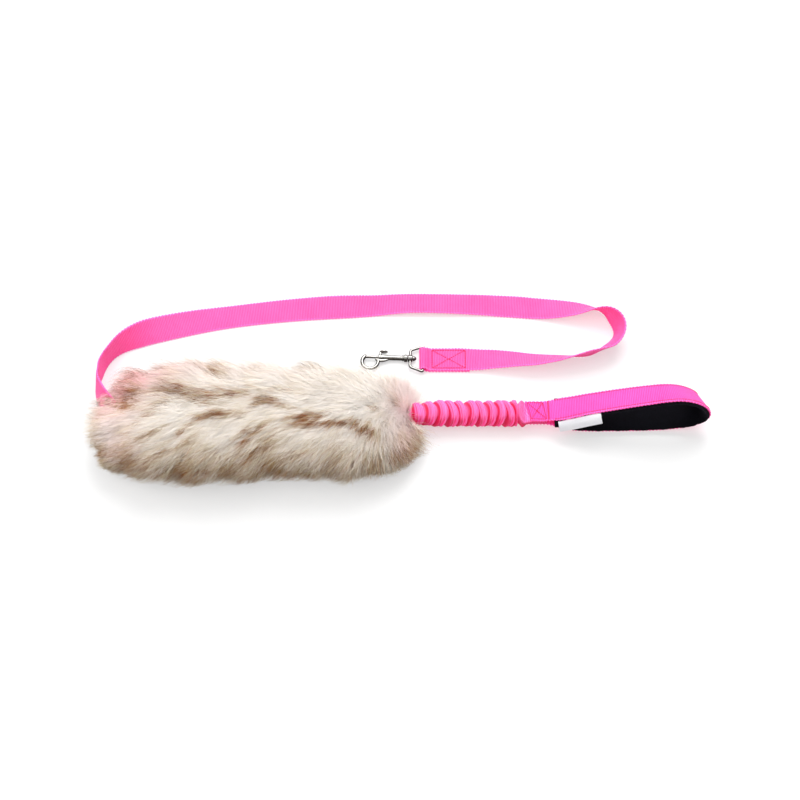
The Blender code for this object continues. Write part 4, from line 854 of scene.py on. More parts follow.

# %% [markdown]
# ## Nickel plate on cast zinc
# The snap is die cast in zinc alloy, tumbled smooth and plated with bright nickel. Nickel
# mirrors the room with a slightly warm grey, and tumbling leaves it softly uneven, so the
# reflections wander a little. A shallow, wide ripple in the bump gives that. The sides and
# undersides of the castings are painted a darker grey, a painted shade, and their tops a brighter one.

# %% Nickel and steel
nickel, tree = new_material("bright_nickel_plate_on_cast_zinc")
ripple = noise(tree, 260.0, 2.0)
painted_top_light = add_node(tree, "Attribute", attribute_name="painted_top_light").outputs["Fac"]
# The dark grey is a painted shade on the sides and undersides; the bright ramp is the painted top light, with a random
# tone.
plate = mixed(tree, painted_top_light, "#35322F", ramp(tree, ripple, [(0.3, "#8F8C89"), (0.7, "#B2B0AC")]))
worn = ranged(tree, noise(tree, 1500.0, 2.0), 0, 1, 0.10, 0.22)
dress(tree, {"Base Color": plate, "Metallic": 1.0, "Roughness": worn}, ripple, 0.25, 0.4 * MM)

spring_steel, tree = new_material("drawn_spring_steel_wire")
drawn = ramp(tree, noise(tree, 2200.0, 3.0), [(0.3, "#77787C"), (0.7, "#9C9DA1")])
dress(tree, {"Base Color": drawn, "Metallic": 1.0, "Roughness": 0.35})
print("metals:", nickel.name, spring_steel.name)

# %% [markdown]
# ## The small bolt snap
# A snap of this kind has five parts: a D-shaped eye that the webbing is folded round, a rivet
# on which it swivels, a cast body with a barrel and a ring-shaped hook, a spring bolt that
# closes the hook, and a thumb knob on the bolt. Wires are circles carried along a line, and
# the barrel, collar and rivet are profiles turned about the snap's own axis.

# %% Wires and turned forms
SNAP_TURN = math.radians(-2.7)
EYE_LENGTH, EYE_BAR_HALF, EYE_BACK_HALF, EYE_CORNER = 12.0 * MM, 13.5 * MM, 8.8 * MM, 2.2 * MM
HUB_RADIUS, HUB_LENGTH = 3.3 * MM, 4.4 * MM
COLLAR_RADIUS, COLLAR_LENGTH = 3.45 * MM, 3.2 * MM
BARREL_RADIUS, BARREL_TAIL, BARREL_LENGTH = 2.5 * MM, 2.2 * MM, 23.7 * MM
HOOK_RADIUS, HOOK_OFFSET, HOOK_LEAD = 7.3 * MM, 4.9 * MM, 7.0 * MM
TURNED_SIDES = 32
hub_x = -EYE_LENGTH
collar_end = hub_x - HUB_LENGTH / 2 - CLEAR
collar_start = collar_end - COLLAR_LENGTH
mouth = collar_start - BARREL_LENGTH
hook_x = mouth - HOOK_LEAD


def turned_snap(points):
    """Turn points about the vertical line through the eye's bar by the snap's lie on the table, and move them there."""
    c, s = math.cos(SNAP_TURN), math.sin(SNAP_TURN)
    x, y = points[..., 0], points[..., 1]
    return np.stack([BAR[0] + c * x - s * y, BAR[1] + s * x + c * y, BAR[2] + points[..., 2]], axis=-1)


def wire(line, radii, sides=20, loop=False, wide=1.0, tall=1.0):
    """Points of a wire: centre + r (wide cos a * side + tall sin a * top), with the side level."""
    along = unit(np.roll(line, -1, axis=0) - np.roll(line, 1, axis=0)) if loop else direction(line)
    side = unit(np.cross([0.0, 0.0, 1.0], along))
    top = np.cross(along, side)
    angle = (TURN * np.arange(sides) / sides)[None, :, None]
    ring = wide * np.cos(angle) * side[:, None] + tall * np.sin(angle) * top[:, None]
    return line[:, None] + np.asarray(radii)[:, None, None] * ring


def turning(profile):
    """Points of a turned form: each profile row (distance along X, radius) becomes a circle about the X axis."""
    x, radius = np.array(profile, float).T[..., None]
    angle = TURN * np.arange(TURNED_SIDES) / TURNED_SIDES
    return np.stack([x + 0 * angle, radius * np.cos(angle), radius * np.sin(angle)], axis=-1)


def rounded(start, end, radius, edge, radius_end=None):
    """Turned pin with quarter-round edges, straight or tapered to a second radius."""
    last = radius if radius_end is None else radius_end
    a = np.linspace(0, math.pi / 2, 5)
    head = [(start + edge * (1 - math.sin(t)), radius - edge * (1 - math.cos(t))) for t in a[::-1]]
    tail = [(end - edge * (1 - math.sin(t)), last - edge * (1 - math.cos(t))) for t in a]
    return turning(head + tail)


def signed_volume(points, face_sets):
    """Volume inside a closed skin: the sum of p1 . (p2 x p3) / 6 over a fan of triangles on each face."""
    total = 0.0
    for faces in face_sets:
        for k in range(1, faces.shape[1] - 1):
            a, b, c = points[faces[:, 0]], points[faces[:, k]], points[faces[:, k + 1]]
            total += np.einsum("ij,ij->i", a, np.cross(b, c)).sum() / 6
    return total


def metal(name, grids, body, node, loops=(), least_top_light=0.0):
    """Join grids of rings into one mesh, each closed by a cap at both ends, or closed on itself if listed in loops.

    The painted top light of a point is 1 where the skin faces up, and falls to its given least value where it
    faces sideways or down, a painted shade.
    """
    points, faces, first = [], [], 0
    for k, grid in enumerate(grids):
        rows, columns = grid.shape[:2]
        flat = grid.reshape(-1, 3)
        parts = [grid_faces(rows, columns, loop_rows=True)] if k in loops else tube_faces(rows, columns)
        if signed_volume(flat, parts) < 0:
            parts = [p[:, ::-1] for p in parts]
        points.append(flat)
        faces += [first + p for p in parts]
        first += rows * columns
    made = put_mesh(name, turned_snap(np.vstack(points)), faces, nickel)
    made.data.set_sharp_from_angle(angle=math.radians(40))
    upward = np.empty(3 * len(made.data.vertices), np.float32)
    made.data.vertices.foreach_get("normal", upward)
    # Painted top light from the normal's upward part: bright on top, painted shade on the sides and below.
    point_values(made, "painted_top_light", np.clip(upward.reshape(-1, 3)[:, 2] * 2.6 - 1.45, least_top_light, 1))
    belongs(made, body, node)
    return made


print("snap from the eye's bar to the hook's far side, mm:", round(1000 * (HOOK_RADIUS - hook_x), 1))

# %% [markdown]
# ## Cast pieces
# The eye is a wire bent round four corners with a hub cast on it. The rivet's dome stands on
# the hub, and its shank runs on into the collar. The body is a ring-shaped hook that thins out
# towards its tip, a tapered barrel, the collar, and a web that joins the hook to the barrel.

# %% The eye, the rivet and the cast body
corners = np.array([(hub_x, -EYE_BACK_HALF), (0, -EYE_BAR_HALF), (0, EYE_BAR_HALF), (hub_x, EYE_BACK_HALF)])
back = unit(np.roll(corners, 1, axis=0) - corners)[:, None] * EYE_CORNER
ahead = unit(np.roll(corners, -1, axis=0) - corners)[:, None] * EYE_CORNER
u = np.linspace(0, 1, 9)[:, None]
outline = (corners[:, None] + back * (1 - u) ** 2 + ahead * u ** 2).reshape(-1, 2)
outline = np.column_stack([outline, np.zeros(len(outline))])
eye_wire = wire(outline, np.full(len(outline), EYE_WIRE), loop=True)
hub = rounded(hub_x - HUB_LENGTH / 2, hub_x + HUB_LENGTH / 2, HUB_RADIUS, 0.9 * MM)
eye = metal("swivel_eye_cast", [eye_wire, hub], "eye", "swivel_eye", loops=(0,))

SHANK_RADIUS, DOME_RADIUS, DOME_HEIGHT, SHANK_SUNK = 1.3 * MM, 2.3 * MM, 3.2 * MM, 2.3 * MM
dome_x = hub_x + HUB_LENGTH / 2 + CLEAR
dome = [(dome_x + DOME_HEIGHT * math.sin(a), DOME_RADIUS * math.cos(a) + 0.02 * MM) for a in np.linspace(0.0, 1.5, 8)]
shank = [(collar_end - SHANK_SUNK, SHANK_RADIUS), (dome_x - 0.01 * MM, SHANK_RADIUS), (dome_x, SHANK_RADIUS)]
rivet = metal("swivel_rivet_domed", [turning(shank + dome)], "snap", "swivel_rivet")

share = np.linspace(0, 1, 72)
turn = np.radians(22 - 262 * share)
ring_line = np.column_stack([hook_x + HOOK_RADIUS * np.cos(turn), -HOOK_OFFSET + HOOK_RADIUS * np.sin(turn),
                             np.zeros(len(share))])
hook_radii = 1.45 * MM + 0.45 * MM * smooth_step((share - 0.55) / 0.45)
hook_radii[-4:] *= [0.97, 0.90, 0.76, 0.50]
hook = wire(ring_line, hook_radii, 24)
barrel = rounded(mouth, collar_start + 0.2 * MM, BARREL_RADIUS, 0.35 * MM, BARREL_TAIL)
collar = rounded(collar_start, collar_end, COLLAR_RADIUS, 0.7 * MM)
bead = rounded(collar_start - 1.7 * MM, collar_start - 0.4 * MM, 2.75 * MM, 0.5 * MM)
web_x = mouth + np.array([-2.2, 0.6, 4.0, 8.0, 11.5]) * MM
web_line = smooth_line(np.column_stack([web_x, -HOOK_OFFSET * np.array([0.35, 0.62, 0.66, 0.46, 0.22]), 0 * web_x]), 8)
web_size = np.interp(np.linspace(0, 1, len(web_line)), [0, 0.2, 0.6, 1], [1.1, 1.5, 1.3, 0.6]) * MM
web = wire(web_line, web_size, wide=1.2, tall=0.85)
body = metal("snap_body_cast", [hook, barrel, collar, bead, web], "snap", "snap_body")
print("snap body faces:", len(body.data.polygons))

# %% [markdown]
# ## The bolt and the knob
# The bolt is a plain pin whose nose reaches the far side of the ring. The knob stands beside
# it on an oval stem. Its pad is a stack of ovals that swell and shrink again, and it takes little
# of the painted shade on its sides, so it is bright all over.

# %% The spring bolt and its thumb knob
BOLT_RADIUS, BOLT_TAIL = 1.3 * MM, 5.5 * MM
STEM_HALF_LONG, STEM_HALF_WIDE, STEM_PLACE = 1.1 * MM, 0.8 * MM, 2.1 * MM
PAD_LENGTH, PAD_HALF_WIDE, PAD_HALF_THICK, PAD_STAND = 7.7 * MM, 2.5 * MM, 0.9 * MM, 6.0 * MM
nose_x = hook_x - math.sqrt(HOOK_RADIUS ** 2 - HOOK_OFFSET ** 2) - 0.8 * MM + CLEAR
bolt = metal("spring_bolt_pin", [rounded(nose_x, mouth + BOLT_TAIL, BOLT_RADIUS, 0.4 * MM)], "bolt", "bolt")


def ovals(middle_x, y, half_x, half_z, sides):
    """Stack of level ovals: x = middle + half_x cos a and z = half_z sin a, at each y."""
    angle = TURN * np.arange(sides) / sides
    y, half_x, half_z = (np.broadcast_to(row, np.shape(y))[:, None] for row in (y, half_x, half_z))
    return np.stack([middle_x + half_x * np.cos(angle), y + 0 * angle, half_z * np.sin(angle)], axis=-1)


stem_x = mouth + STEM_PLACE
stem = ovals(stem_x, np.linspace(1.0 * MM, PAD_STAND, 10), STEM_HALF_LONG, STEM_HALF_WIDE, 16)
level = np.linspace(-1, 1, 11)
bulge = np.sqrt(1 - (np.abs(level) * 0.93) ** 3.0)
pad = ovals(stem_x - STEM_HALF_LONG + PAD_LENGTH / 2, PAD_STAND + PAD_HALF_THICK * level, PAD_LENGTH / 2 * bulge,
            PAD_HALF_WIDE * bulge, 32)
# The knob's sides keep most of the painted top light.
knob = metal("thumb_knob_cast", [stem, pad], "bolt", "thumb_knob", least_top_light=0.8)
print("bolt and knob:", bolt.name, knob.name)

# %% [markdown]
# ## The spring behind the bolt
# A coil of hard drawn wire sits in the barrel and pushes the bolt shut. Its front end sits just
# behind the bolt and its back end rests in the barrel.

# %% Coil spring
COIL_WIRE, COIL_RADIUS, COILS = 0.24 * MM, 1.05 * MM, 8
coil_front = mouth + BOLT_TAIL + CLEAR + COIL_WIRE
coil_back = collar_start - 1.65 * MM - CLEAR - COIL_WIRE
share = np.linspace(0, 1, COILS * 16 + 1)[:, None]
turn = TURN * COILS * share
ring = (TURN * np.arange(10) / 10)[None]
coil = np.stack([coil_front + (coil_back - coil_front) * share + COIL_WIRE * np.sin(ring),
                 (COIL_RADIUS + COIL_WIRE * np.cos(ring)) * np.cos(turn),
                 (COIL_RADIUS + COIL_WIRE * np.cos(ring)) * np.sin(turn)], axis=-1)
spring = tube("bolt_coil_spring", turned_snap(coil), spring_steel)
front, back = turned_snap(np.array([[coil_front, 0, 0], [coil_back, 0, 0]]))
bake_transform(spring)
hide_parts("bolt_spring")
print("spring length in mm:", round(1000 * float(coil_back - coil_front), 1))

# %% [markdown]
# ## The fur tug
# A pelt with long soft hair is sewn into a tube round a stuffed core. The skin under the hair
# is a plain rounded body, a little smaller than the measured outline, because the hair gives
# the rest. Its outline comes from stations along the tug, each with a sideways shift, a half
# width and a height.

# %% The pelt under the hair
FUR_LEFT, FUR_RIGHT, FUR_HALF_WIDTH, FUR_HEIGHT = -0.145, 0.138, 0.056, 0.0665
FUR_STATIONS = np.array([
    (0.000, -0.02, 0.40, 0.44), (0.020, -0.02, 0.60, 0.63), (0.055, -0.02, 0.75, 0.79),
    (0.110, -0.01, 0.86, 0.89), (0.190, 0.01, 0.94, 0.96), (0.300, 0.02, 0.97, 0.98),
    (0.400, 0.02, 0.95, 0.98), (0.500, 0.03, 0.91, 0.97), (0.600, 0.04, 0.88, 0.95),
    (0.700, 0.03, 0.88, 0.94), (0.790, 0.02, 0.87, 0.92), (0.860, 0.02, 0.84, 0.86),
    (0.915, 0.04, 0.77, 0.76), (0.955, 0.10, 0.66, 0.66), (0.982, 0.17, 0.55, 0.56),
    (1.000, 0.21, 0.45, 0.48)])
HAIR_STAND = 7.5 * MM
LIFT = 1.5 * MM
SQUARE = 2 / 2.3


def outline_at(share):
    """Sideways shift, half width and height of the measured outline at a share of its length."""
    shift, half_w, height = (np.interp(share, FUR_STATIONS[:, 0], FUR_STATIONS[:, k]) for k in (1, 2, 3))
    return shift * FUR_HALF_WIDTH, half_w * FUR_HALF_WIDTH, height * FUR_HEIGHT


def share_at(x):
    """Share of the tug's length at a place along it."""
    return np.clip((x - FUR_LEFT) / (FUR_RIGHT - FUR_LEFT), 0, 1)


def pelt_point(share, angle, inset):
    """Point of the pelt: a superellipse across the tug, shrunk by the inset. Angle 0 is on top, positive beyond it.

    y = shift + w |sin a|^0.87 and z = lift + h/2 (1 + |cos a|^0.87), each with the sign of its sine or cosine.
    The ends stand back by 1.2 insets on the left and 1.4 on the right.
    """
    shift, half_w, height = outline_at(share)
    ends = np.clip(np.minimum(share, 1 - share) / 0.16, 0, 1)
    half_w = np.maximum(half_w - inset * (0.30 + 0.70 * ends), 3 * MM)
    height = np.maximum(height - inset - LIFT, 8 * MM)
    s, c = np.sin(angle), np.cos(angle)
    x = FUR_LEFT + inset * 1.2 + (FUR_RIGHT - FUR_LEFT - 2.6 * inset) * share
    y = shift + half_w * np.sign(s) * np.abs(s) ** SQUARE
    z = LIFT + height / 2 * (1 + np.sign(c) * np.abs(c) ** SQUARE)
    return np.stack([x, y, z], axis=-1)


def pelt_frame(share, angle, inset):
    """Point, outward normal, lengthwise and sideways tangents, from small central differences."""
    d = 1e-3
    after, before = np.clip(share + d, 0, 1), np.clip(share - d, 0, 1)
    length = unit(pelt_point(after, angle, inset) - pelt_point(before, angle, inset))
    side = unit(pelt_point(share, angle + d, inset) - pelt_point(share, angle - d, inset))
    return pelt_point(share, angle, inset), unit(np.cross(length, side)), length, side


print("top of the pelt at mid length, mm:", np.round(1000 * pelt_point(np.array(0.5), np.array(0.0), HAIR_STAND), 1))

# %% [markdown]
# ## Where the hair is dark
# Most of the coat is cream. Brown streaks lie along it where darker guard hairs gather. Each
# row below is one streak: its place along the tug in mm, its angle round the tug in degrees,
# its half length and half width in mm, its slant, and how dark it is. The glow rows, a painted
# pink light that the straps throw on the hair, are written in the same way.

# %% Streaks and painted strap glow
DARK_STREAKS = [
    (-117, 50, 9.1, 4.8, 0, 0.63), (-113, 20, 11.7, 6.1, 0, 0.98), (-111, 2, 15.6, 4.1, 0, 0.63),
    (-91, 66, 11.7, 3.4, 0, 0.57), (-64, 13, 26, 2.2, -4, 1.15), (-84, 22, 10.4, 2, 8, 0.52),
    (-38, 42, 10.4, 4.1, -24, 0.8), (-25, 9, 18.2, 2.6, 6, 1.03), (-48, 2, 15.6, 2, -10, 0.57),
    (6, 3, 11.7, 3.1, 24, 0.92), (15, -1, 16.9, 1.8, -14, 0.98), (30, 14, 15.6, 1.6, 0, 0.34),
    (42, -18, 11.7, 4.1, 12, 1.3), (54, -20, 19.5, 2.2, -3, 1.09), (72, -21, 11.7, 2, 0, 0.57),
    (90, -27, 10.4, 4.4, -22, 1.09), (96, 4, 3.2, 1.6, 0, 1.03), (-32, -13, 15.6, 2.2, 0, 0.92),
    (-52, -22, 20.8, 2, 26, 0.52), (-86, -4, 18.2, 1.8, 34, 0.63), (-87, -30, 14.3, 1.6, 18, 0.69),
    (-3, -32, 14.3, 5.4, 30, 0.57), (0, -52, 18.2, 4.8, 24, 0.40), (24, -64, 23.4, 3.4, 26, 0.26),
    (-54, -80, 20.8, 4.8, 12, 0.30), (-70, -48, 28.6, 2.7, 24, 0.34), (30, -95, 45.5, 5.4, 0, 0.2),
    (39, 62, 6.5, 4.1, 0, 0.46), (118, 27, 3.9, 2.7, 0, 0.69), (118, -70, 10.4, 6.1, 0, 0.26),
    (-133, 45, 7.8, 8.2, 0, 0.5), (-140, -50, 10.4, 21.8, 0, 0.15), (-99, 64, 15.6, 3.4, 0, 0.4),
    (-60, 60, 18.2, 2.7, -10, 0.4), (70, 150, 30, 20, 10, 0.45), (-60, 165, 30, 18, -10, 0.5),
    (10, 125, 24, 12, 0, 0.4), (-100, 120, 20, 12, 8, 0.45)]
# Painted pink light that the straps throw on the hair, in rows as for the streaks.
PAINTED_STRAP_GLOW = [(-128, 30, 26, 26, 0, 0.48), (-30, 55, 90, 22, 0, 0.10), (-100, 50, 34, 18, 0, 0.34),
         (130, 20, 20, 34, 0, 0.36), (128, -60, 14, 18, 0, 0.24), (-120, -60, 24, 20, 0, 0.22)]
GIRTH_RADIUS = 36 * MM
MOUND_SCALE, MOUND_SEED = 0.034, 17


def spots(x, angle, rows):
    """Sum of soft elliptical spots: strength * exp(-(along^2 + across^2)), turned by the slant."""
    total = np.zeros_like(x)
    for place, degrees, long, wide, slant, strength in rows:
        du = x - place * MM
        dv = (angle - math.radians(degrees)) * GIRTH_RADIUS
        a = math.radians(slant)
        along = du * math.cos(a) + dv * math.sin(a)
        off = -du * math.sin(a) + dv * math.cos(a)
        total += strength * np.exp(-(along / (long * MM)) ** 2 - (off / (wide * MM)) ** 2)
    return total


def slow_noise(x, angle, scale, seed):
    """Smooth noise from nine plane waves of random direction and phase: their mean, about -1 to 1."""
    dice = np.random.default_rng(seed)
    total = np.zeros_like(x)
    for _ in range(9):
        turn = dice.uniform(0, TURN)
        wave = TURN / (scale * dice.uniform(0.6, 1.6))
        total += np.sin(wave * (x * math.cos(turn) + angle * GIRTH_RADIUS * math.sin(turn)) + dice.uniform(0, TURN))
    return total / 3.4


def angle_at(points):
    """Angle round the tug of any points, seen from the middle of the outline there and in shares of its size."""
    shift, half_w, height = outline_at(share_at(points[..., 0]))
    return np.arctan2((points[..., 1] - shift) / half_w, points[..., 2] / (height / 2) - 1)


def coat_tone(x, angle):
    """Darkness of the coat, 0 for white and 1 for dark brown: streaks, a painted shade on the near underside, painted
    shade in the hollows between mounds, and slow noise.
    """
    # Painted shade: the near underside is darker, with a random tone on top.
    underside_shade_and_tone = 0.26 * np.clip((-angle - 0.45) / 0.8, 0, 1) + 0.05 * slow_noise(x, angle, 0.040, 3)
    fine = np.clip(1 + 0.9 * slow_noise(x * 0.35, angle, 0.0045, 8), 0.1, 2.2)
    # Painted shade in the hollows between the slow mounds, more on the underside.
    hollow_shade = np.clip(-slow_noise(x, angle, MOUND_SCALE, MOUND_SEED) - 0.1, 0, 1) * np.clip(0.6 - 0.8 * angle, 0.15, 1)
    return np.clip(0.01 + underside_shade_and_tone + 0.09 * hollow_shade + 0.74 * spots(x, angle, DARK_STREAKS) * fine, 0.0, 1.0)


print("tone at the darkest streak:", round(float(coat_tone(np.array([0.042]), np.array([-0.31]))[0]), 2))

# %% [markdown]
# ## Animal hair
# A guard hair is a clear tube of keratin with a core of pigment, so it is pale and softly
# glossy, with its colour inside. Each strand carries its own tone in its UV map, across for
# the darkness and up for a painted pink glow, which stands for the light that the straps throw on it,
# and one ramp turns the tone into cream, beige or brown.

# %% Hair material
rabbit_hair, tree = new_material("natural_rabbit_guard_hair")
darkness, pink_glow_share = uv_xy(tree, "strand")
coat = ramp(tree, darkness, [(0.0, "#FFFDF9"), (0.12, "#FFF6EB"), (0.28, "#D3C8A0"), (0.48, "#B88B5C"),
                             (0.60, "#A8672F"), (0.72, "#8A4418"), (1.0, "#47220F")])
# The pink multiplied into the coat is a painted reflection of the straps.
dress(tree, {"Base Color": mixed(tree, pink_glow_share, coat, "#FFB0C4", "MULTIPLY"), "Roughness": 0.55, "IOR": 1.55,
             "Specular IOR Level": 0.25, "Sheen Weight": 0.15, "Sheen Roughness": 0.5})

shares = 0.5 - 0.5 * np.cos(np.pi * np.arange(121) / 120)
angles = TURN * np.arange(96) / 96
SH, AN = np.meshgrid(shares, angles, indexing="ij")
skin = pelt_point(SH, AN, HAIR_STAND)
signed = (AN + np.pi) % TURN - np.pi
tone_uv = np.stack([coat_tone(skin[..., 0], signed), np.clip(spots(skin[..., 0], signed, PAINTED_STRAP_GLOW), 0, 1)],
                   axis=-1).reshape(-1, 2)
faces = tube_faces(*SH.shape)
pelt = outward(put_mesh("fur_pelt_body", skin.reshape(-1, 3), faces, rabbit_hair, [tone_uv[f] for f in faces],
                        "strand"))
belongs(pelt, "tug", "fur_cover")
print("pelt faces:", len(pelt.data.polygons))

# %% [markdown]
# ## Combing the hair
# Hair grows from the skin at a slant, bends over under its own weight and gathers into
# locks. So each strand starts at a random root, follows the comb direction of that place,
# and its tip is pulled towards the tip of its lock. Over most of the tug the coat is combed
# towards the left end and down on the near side. Round the bungee it flares the other way, and
# at the strap it is parted.

# %% Comb direction and strands
HAIRS = 250000
PER_PIECE = 38000
LOCKS_LONG, LOCKS_ROUND = 66, 58
LOCK_STEP_LONG, LOCK_STEP_ROUND = 97, 13
NODES = 4
REACH = 5.0 * MM
END_SHARE = 0.22
END_EDGE = 0.004
PART, PART_TOP, PART_KEPT = 6.0 * MM, 20 * MM, 0.14
STRAP_EXIT = lead_rows[(along_lead > 0.036) & (along_lead < 0.092), :2][::8]


def comb(x, angle):
    """Slant of the coat in radians: 0 points to the left end, and a quarter turn points down on the near side."""
    near = 1 / (1 + np.exp((angle - 0.15) / 0.22))
    low = np.interp(x, [-0.150, -0.110, -0.060, 0.040, 0.080, 0.100, 0.118, 0.140],
                    np.radians([4, 14, 34, 38, 52, 78, 112, 140]))
    high = np.interp(x, [-0.150, -0.060, 0.050, 0.080, 0.105, 0.125, 0.140],
                     np.radians([0, -6, -8, -18, -50, -105, -140]))
    return near * low + (1 - near) * high


def settle(points):
    """Lay wild hair down: where a point stands further than REACH off the outline, 0.3 of the rest is kept."""
    shift, half_w, height = outline_at(share_at(points[..., 0]))
    side, up = points[..., 1] - shift, points[..., 2] - height / 2
    power = 2 / SQUARE
    ratio = (np.abs(side / half_w) ** power + np.abs(up / (height / 2)) ** power) ** (1 / power)
    far = np.hypot(side, up)
    over = np.maximum(far * (1 - 1 / np.maximum(ratio, 0.2)) - REACH, 0)
    kept = 1 - 0.7 * over / np.maximum(far, 1 * MM)
    return points + np.stack([0 * side, side * (kept - 1), up * (kept - 1)], axis=-1)


def strand_line(share, angle, length, stand, slant, inward):
    """Strand before its lock pulls it: root + L (0.92 t way + stand (t - 0.58 t^2) normal), and the normal there.

    The way is the comb direction plus the strand's own slant. At both ends it fans out from the tug's line,
    and roots marked inward sit on the flat caps there.
    """
    root, normal, length_way, side_way = pelt_frame(share, angle, HAIR_STAND + 1.0 * MM)
    middle = (pelt_point(share, 0.0, HAIR_STAND) + pelt_point(share, np.pi, HAIR_STAND)) / 2
    root = root + (middle - root) * inward[:, None]
    slant = comb(root[:, 0], angle) + slant
    way = -np.cos(slant)[:, None] * length_way - np.sin(slant)[:, None] * side_way
    left = np.clip((-0.118 - root[:, 0]) / 0.02, 0, 1)
    right = np.clip((root[:, 0] - 0.118) / 0.02, 0, 1)
    fan = np.stack([right - left, 0.75 * np.sin(angle) * (left + 0.8 * right), 0.5 * np.cos(angle) * right], axis=-1)
    way = unit(way * (1 - 0.7 * np.maximum(left, right)[:, None]) + 0.9 * fan)
    t = np.linspace(0, 1, NODES)[None, :, None]
    rise = stand[:, None, None] * (t - 0.58 * t ** 2)
    return root[:, None] + length[:, None, None] * (way[:, None] * t * 0.92 + normal[:, None] * rise), normal


def grow(count, length, width, tone_shift, stand, seed):
    """Strands as arrays: points [n, NODES, 3], side vectors, widths, tones, painted strap glow and normals.

    Each strand is drawn at its root and moved towards its lock's own strand by a share of up to 0.34 t^1.5,
    so that a lock closes towards its tip. Strands are short at the left end and on the underside, stand up on
    slow mounds, and grow dark one by one with the coat's tone.
    """
    dice = np.random.default_rng(seed)
    share = dice.uniform(0, 1, count * 2)
    at_end = dice.uniform(0, 1, count * 2) < END_SHARE
    share = np.where(at_end, np.where(share < 0.62, 0.05 * share / 0.62, 1 - 0.05 * (1 - share) / 0.38), share)
    size = np.interp(share, FUR_STATIONS[:, 0], FUR_STATIONS[:, 2]) + 0.25
    share = share[dice.uniform(0, 1.25, count * 2) < size][:count]
    count = len(share)
    angle = dice.uniform(-np.pi, np.pi, count)
    below = np.abs(angle) > 2.2
    angle = np.where(below & (dice.uniform(0, 1, count) < 0.55), angle * 0.6, angle)

    jitter = dice.uniform(-0.5, 0.5, (LOCKS_LONG + 2, LOCKS_ROUND + 2, 2))
    warp = share * LOCKS_LONG + 0.6 * np.sin(angle * 3 + share * 17)
    turn = (angle / TURN + 0.5) * LOCKS_ROUND + 0.6 * np.sin(share * 31 + angle * 2)
    i = np.clip(np.floor(warp).astype(int), 0, LOCKS_LONG)
    j = np.clip(np.floor(turn).astype(int), 0, LOCKS_ROUND)
    lock_share = np.clip((i + 0.5 + jitter[i, j, 0]) / LOCKS_LONG, 0, 1)
    lock_angle = ((j + 0.5 + jitter[i, j, 1]) / LOCKS_ROUND - 0.5) * TURN
    locks = LOCK_STEP_LONG * (LOCKS_LONG + 1) + LOCK_STEP_ROUND * (LOCKS_ROUND + 1)
    wild = np.random.default_rng(seed + 1).uniform(-1, 1, (locks, 4))[i * LOCK_STEP_LONG + j * LOCK_STEP_ROUND].T

    at = np.clip(share, END_EDGE, 1 - END_EDGE)
    here = pelt_point(at, angle, HAIR_STAND)[:, 0]
    short = (np.interp(here, [-0.145, -0.12, 0.09, 0.125], [0.36, 0.86, 1.0, 0.85])
             * np.interp(angle, [-2.2, -1.3, -0.9], [0.75, 0.78, 1.0])
             * (1 - 0.50 * np.clip((-angle - 0.2) / 0.7, 0, 1) * np.clip((-0.075 - here) / 0.04, 0, 1)))
    lock_long = length * short * (1 + 0.28 * wild[1])
    long = lock_long * dice.uniform(0.75, 1.2, count)
    mound = 1 + 0.32 * slow_noise(here, angle, MOUND_SCALE, MOUND_SEED) - 0.18 * np.clip(angle - 0.5, 0, 1)
    lock_lift = stand * mound * (1 + 0.30 * wild[2])
    lift = lock_lift * dice.uniform(0.7, 1.3, count)
    inward = np.where((share > 0.985) | (share < 0.015), dice.uniform(0, 0.8, count), 0.0)
    slant = 0.18 * wild[0]
    line, normal = strand_line(at, angle, long, lift, slant + dice.normal(0, 0.34, count), inward)
    guide, _ = strand_line(np.clip(lock_share, END_EDGE, 1 - END_EDGE), lock_angle, lock_long, lock_lift, slant, inward)
    t = np.linspace(0, 1, NODES)[None, :, None]
    line = line + (guide - line) * dice.uniform(0.0, 0.34, count)[:, None, None] * t ** 1.5
    wave = dice.normal(0, 1, (count, 1, 3)) * 0.9 * MM * t + dice.normal(0, 1, (count, NODES, 3)) * 0.22 * MM * t
    line = settle(line + wave)
    line[..., 2] = np.maximum(line[..., 2], 0.6 * MM + 0.4 * MM * dice.uniform(0, 1, (count, 1)))

    along = unit(np.gradient(line, axis=1))
    roll = dice.normal(0, 0.5, count)[:, None, None]
    across = unit(np.cross(along, normal[:, None]))
    across = across * np.cos(roll) + np.cross(across, along) * np.sin(roll)
    middle = (line[:, 1] + line[:, 2]) / 2
    field = coat_tone(middle[:, 0], angle_at(middle)) * (1 + 0.30 * wild[3])
    dark = dice.uniform(0, 1, count) < np.minimum(1.6 * (field - 0.10), 0.80)
    shade = np.where(dark, 0.40 + 0.34 * field + dice.normal(0, 0.12, count),
                     0.35 * field + np.abs(dice.normal(0, 0.055, count)))
    to_tip = np.linspace(0, 1, NODES)[None]
    tone = shade[:, None] * (0.72 + 0.42 * to_tip) + tone_shift * (0.45 + field[:, None]) * to_tip ** 2
    near_strap = np.linalg.norm(line[:, 1:, None, :2] - STRAP_EXIT[None, None], axis=-1).min(axis=2)
    near_strap = (near_strap + np.where(line[:, 1:, 2] < PART_TOP, 1.0, 0.0)).min(axis=1)
    kept = (near_strap > PART) | (dice.uniform(0, 1, count) < PART_KEPT)
    # Painted pink glow from the straps on each strand.
    pink_glow_paint = spots(line[:, 2, 0], angle_at(line[:, 2]), PAINTED_STRAP_GLOW) * dice.uniform(0.7, 1.1, count)
    made = (line, across, width * dice.uniform(0.7, 1.2, count), np.clip(tone, 0.02, 0.95),
            np.clip(pink_glow_paint, 0.02, 0.98), normal)
    return [values[kept] for values in made]


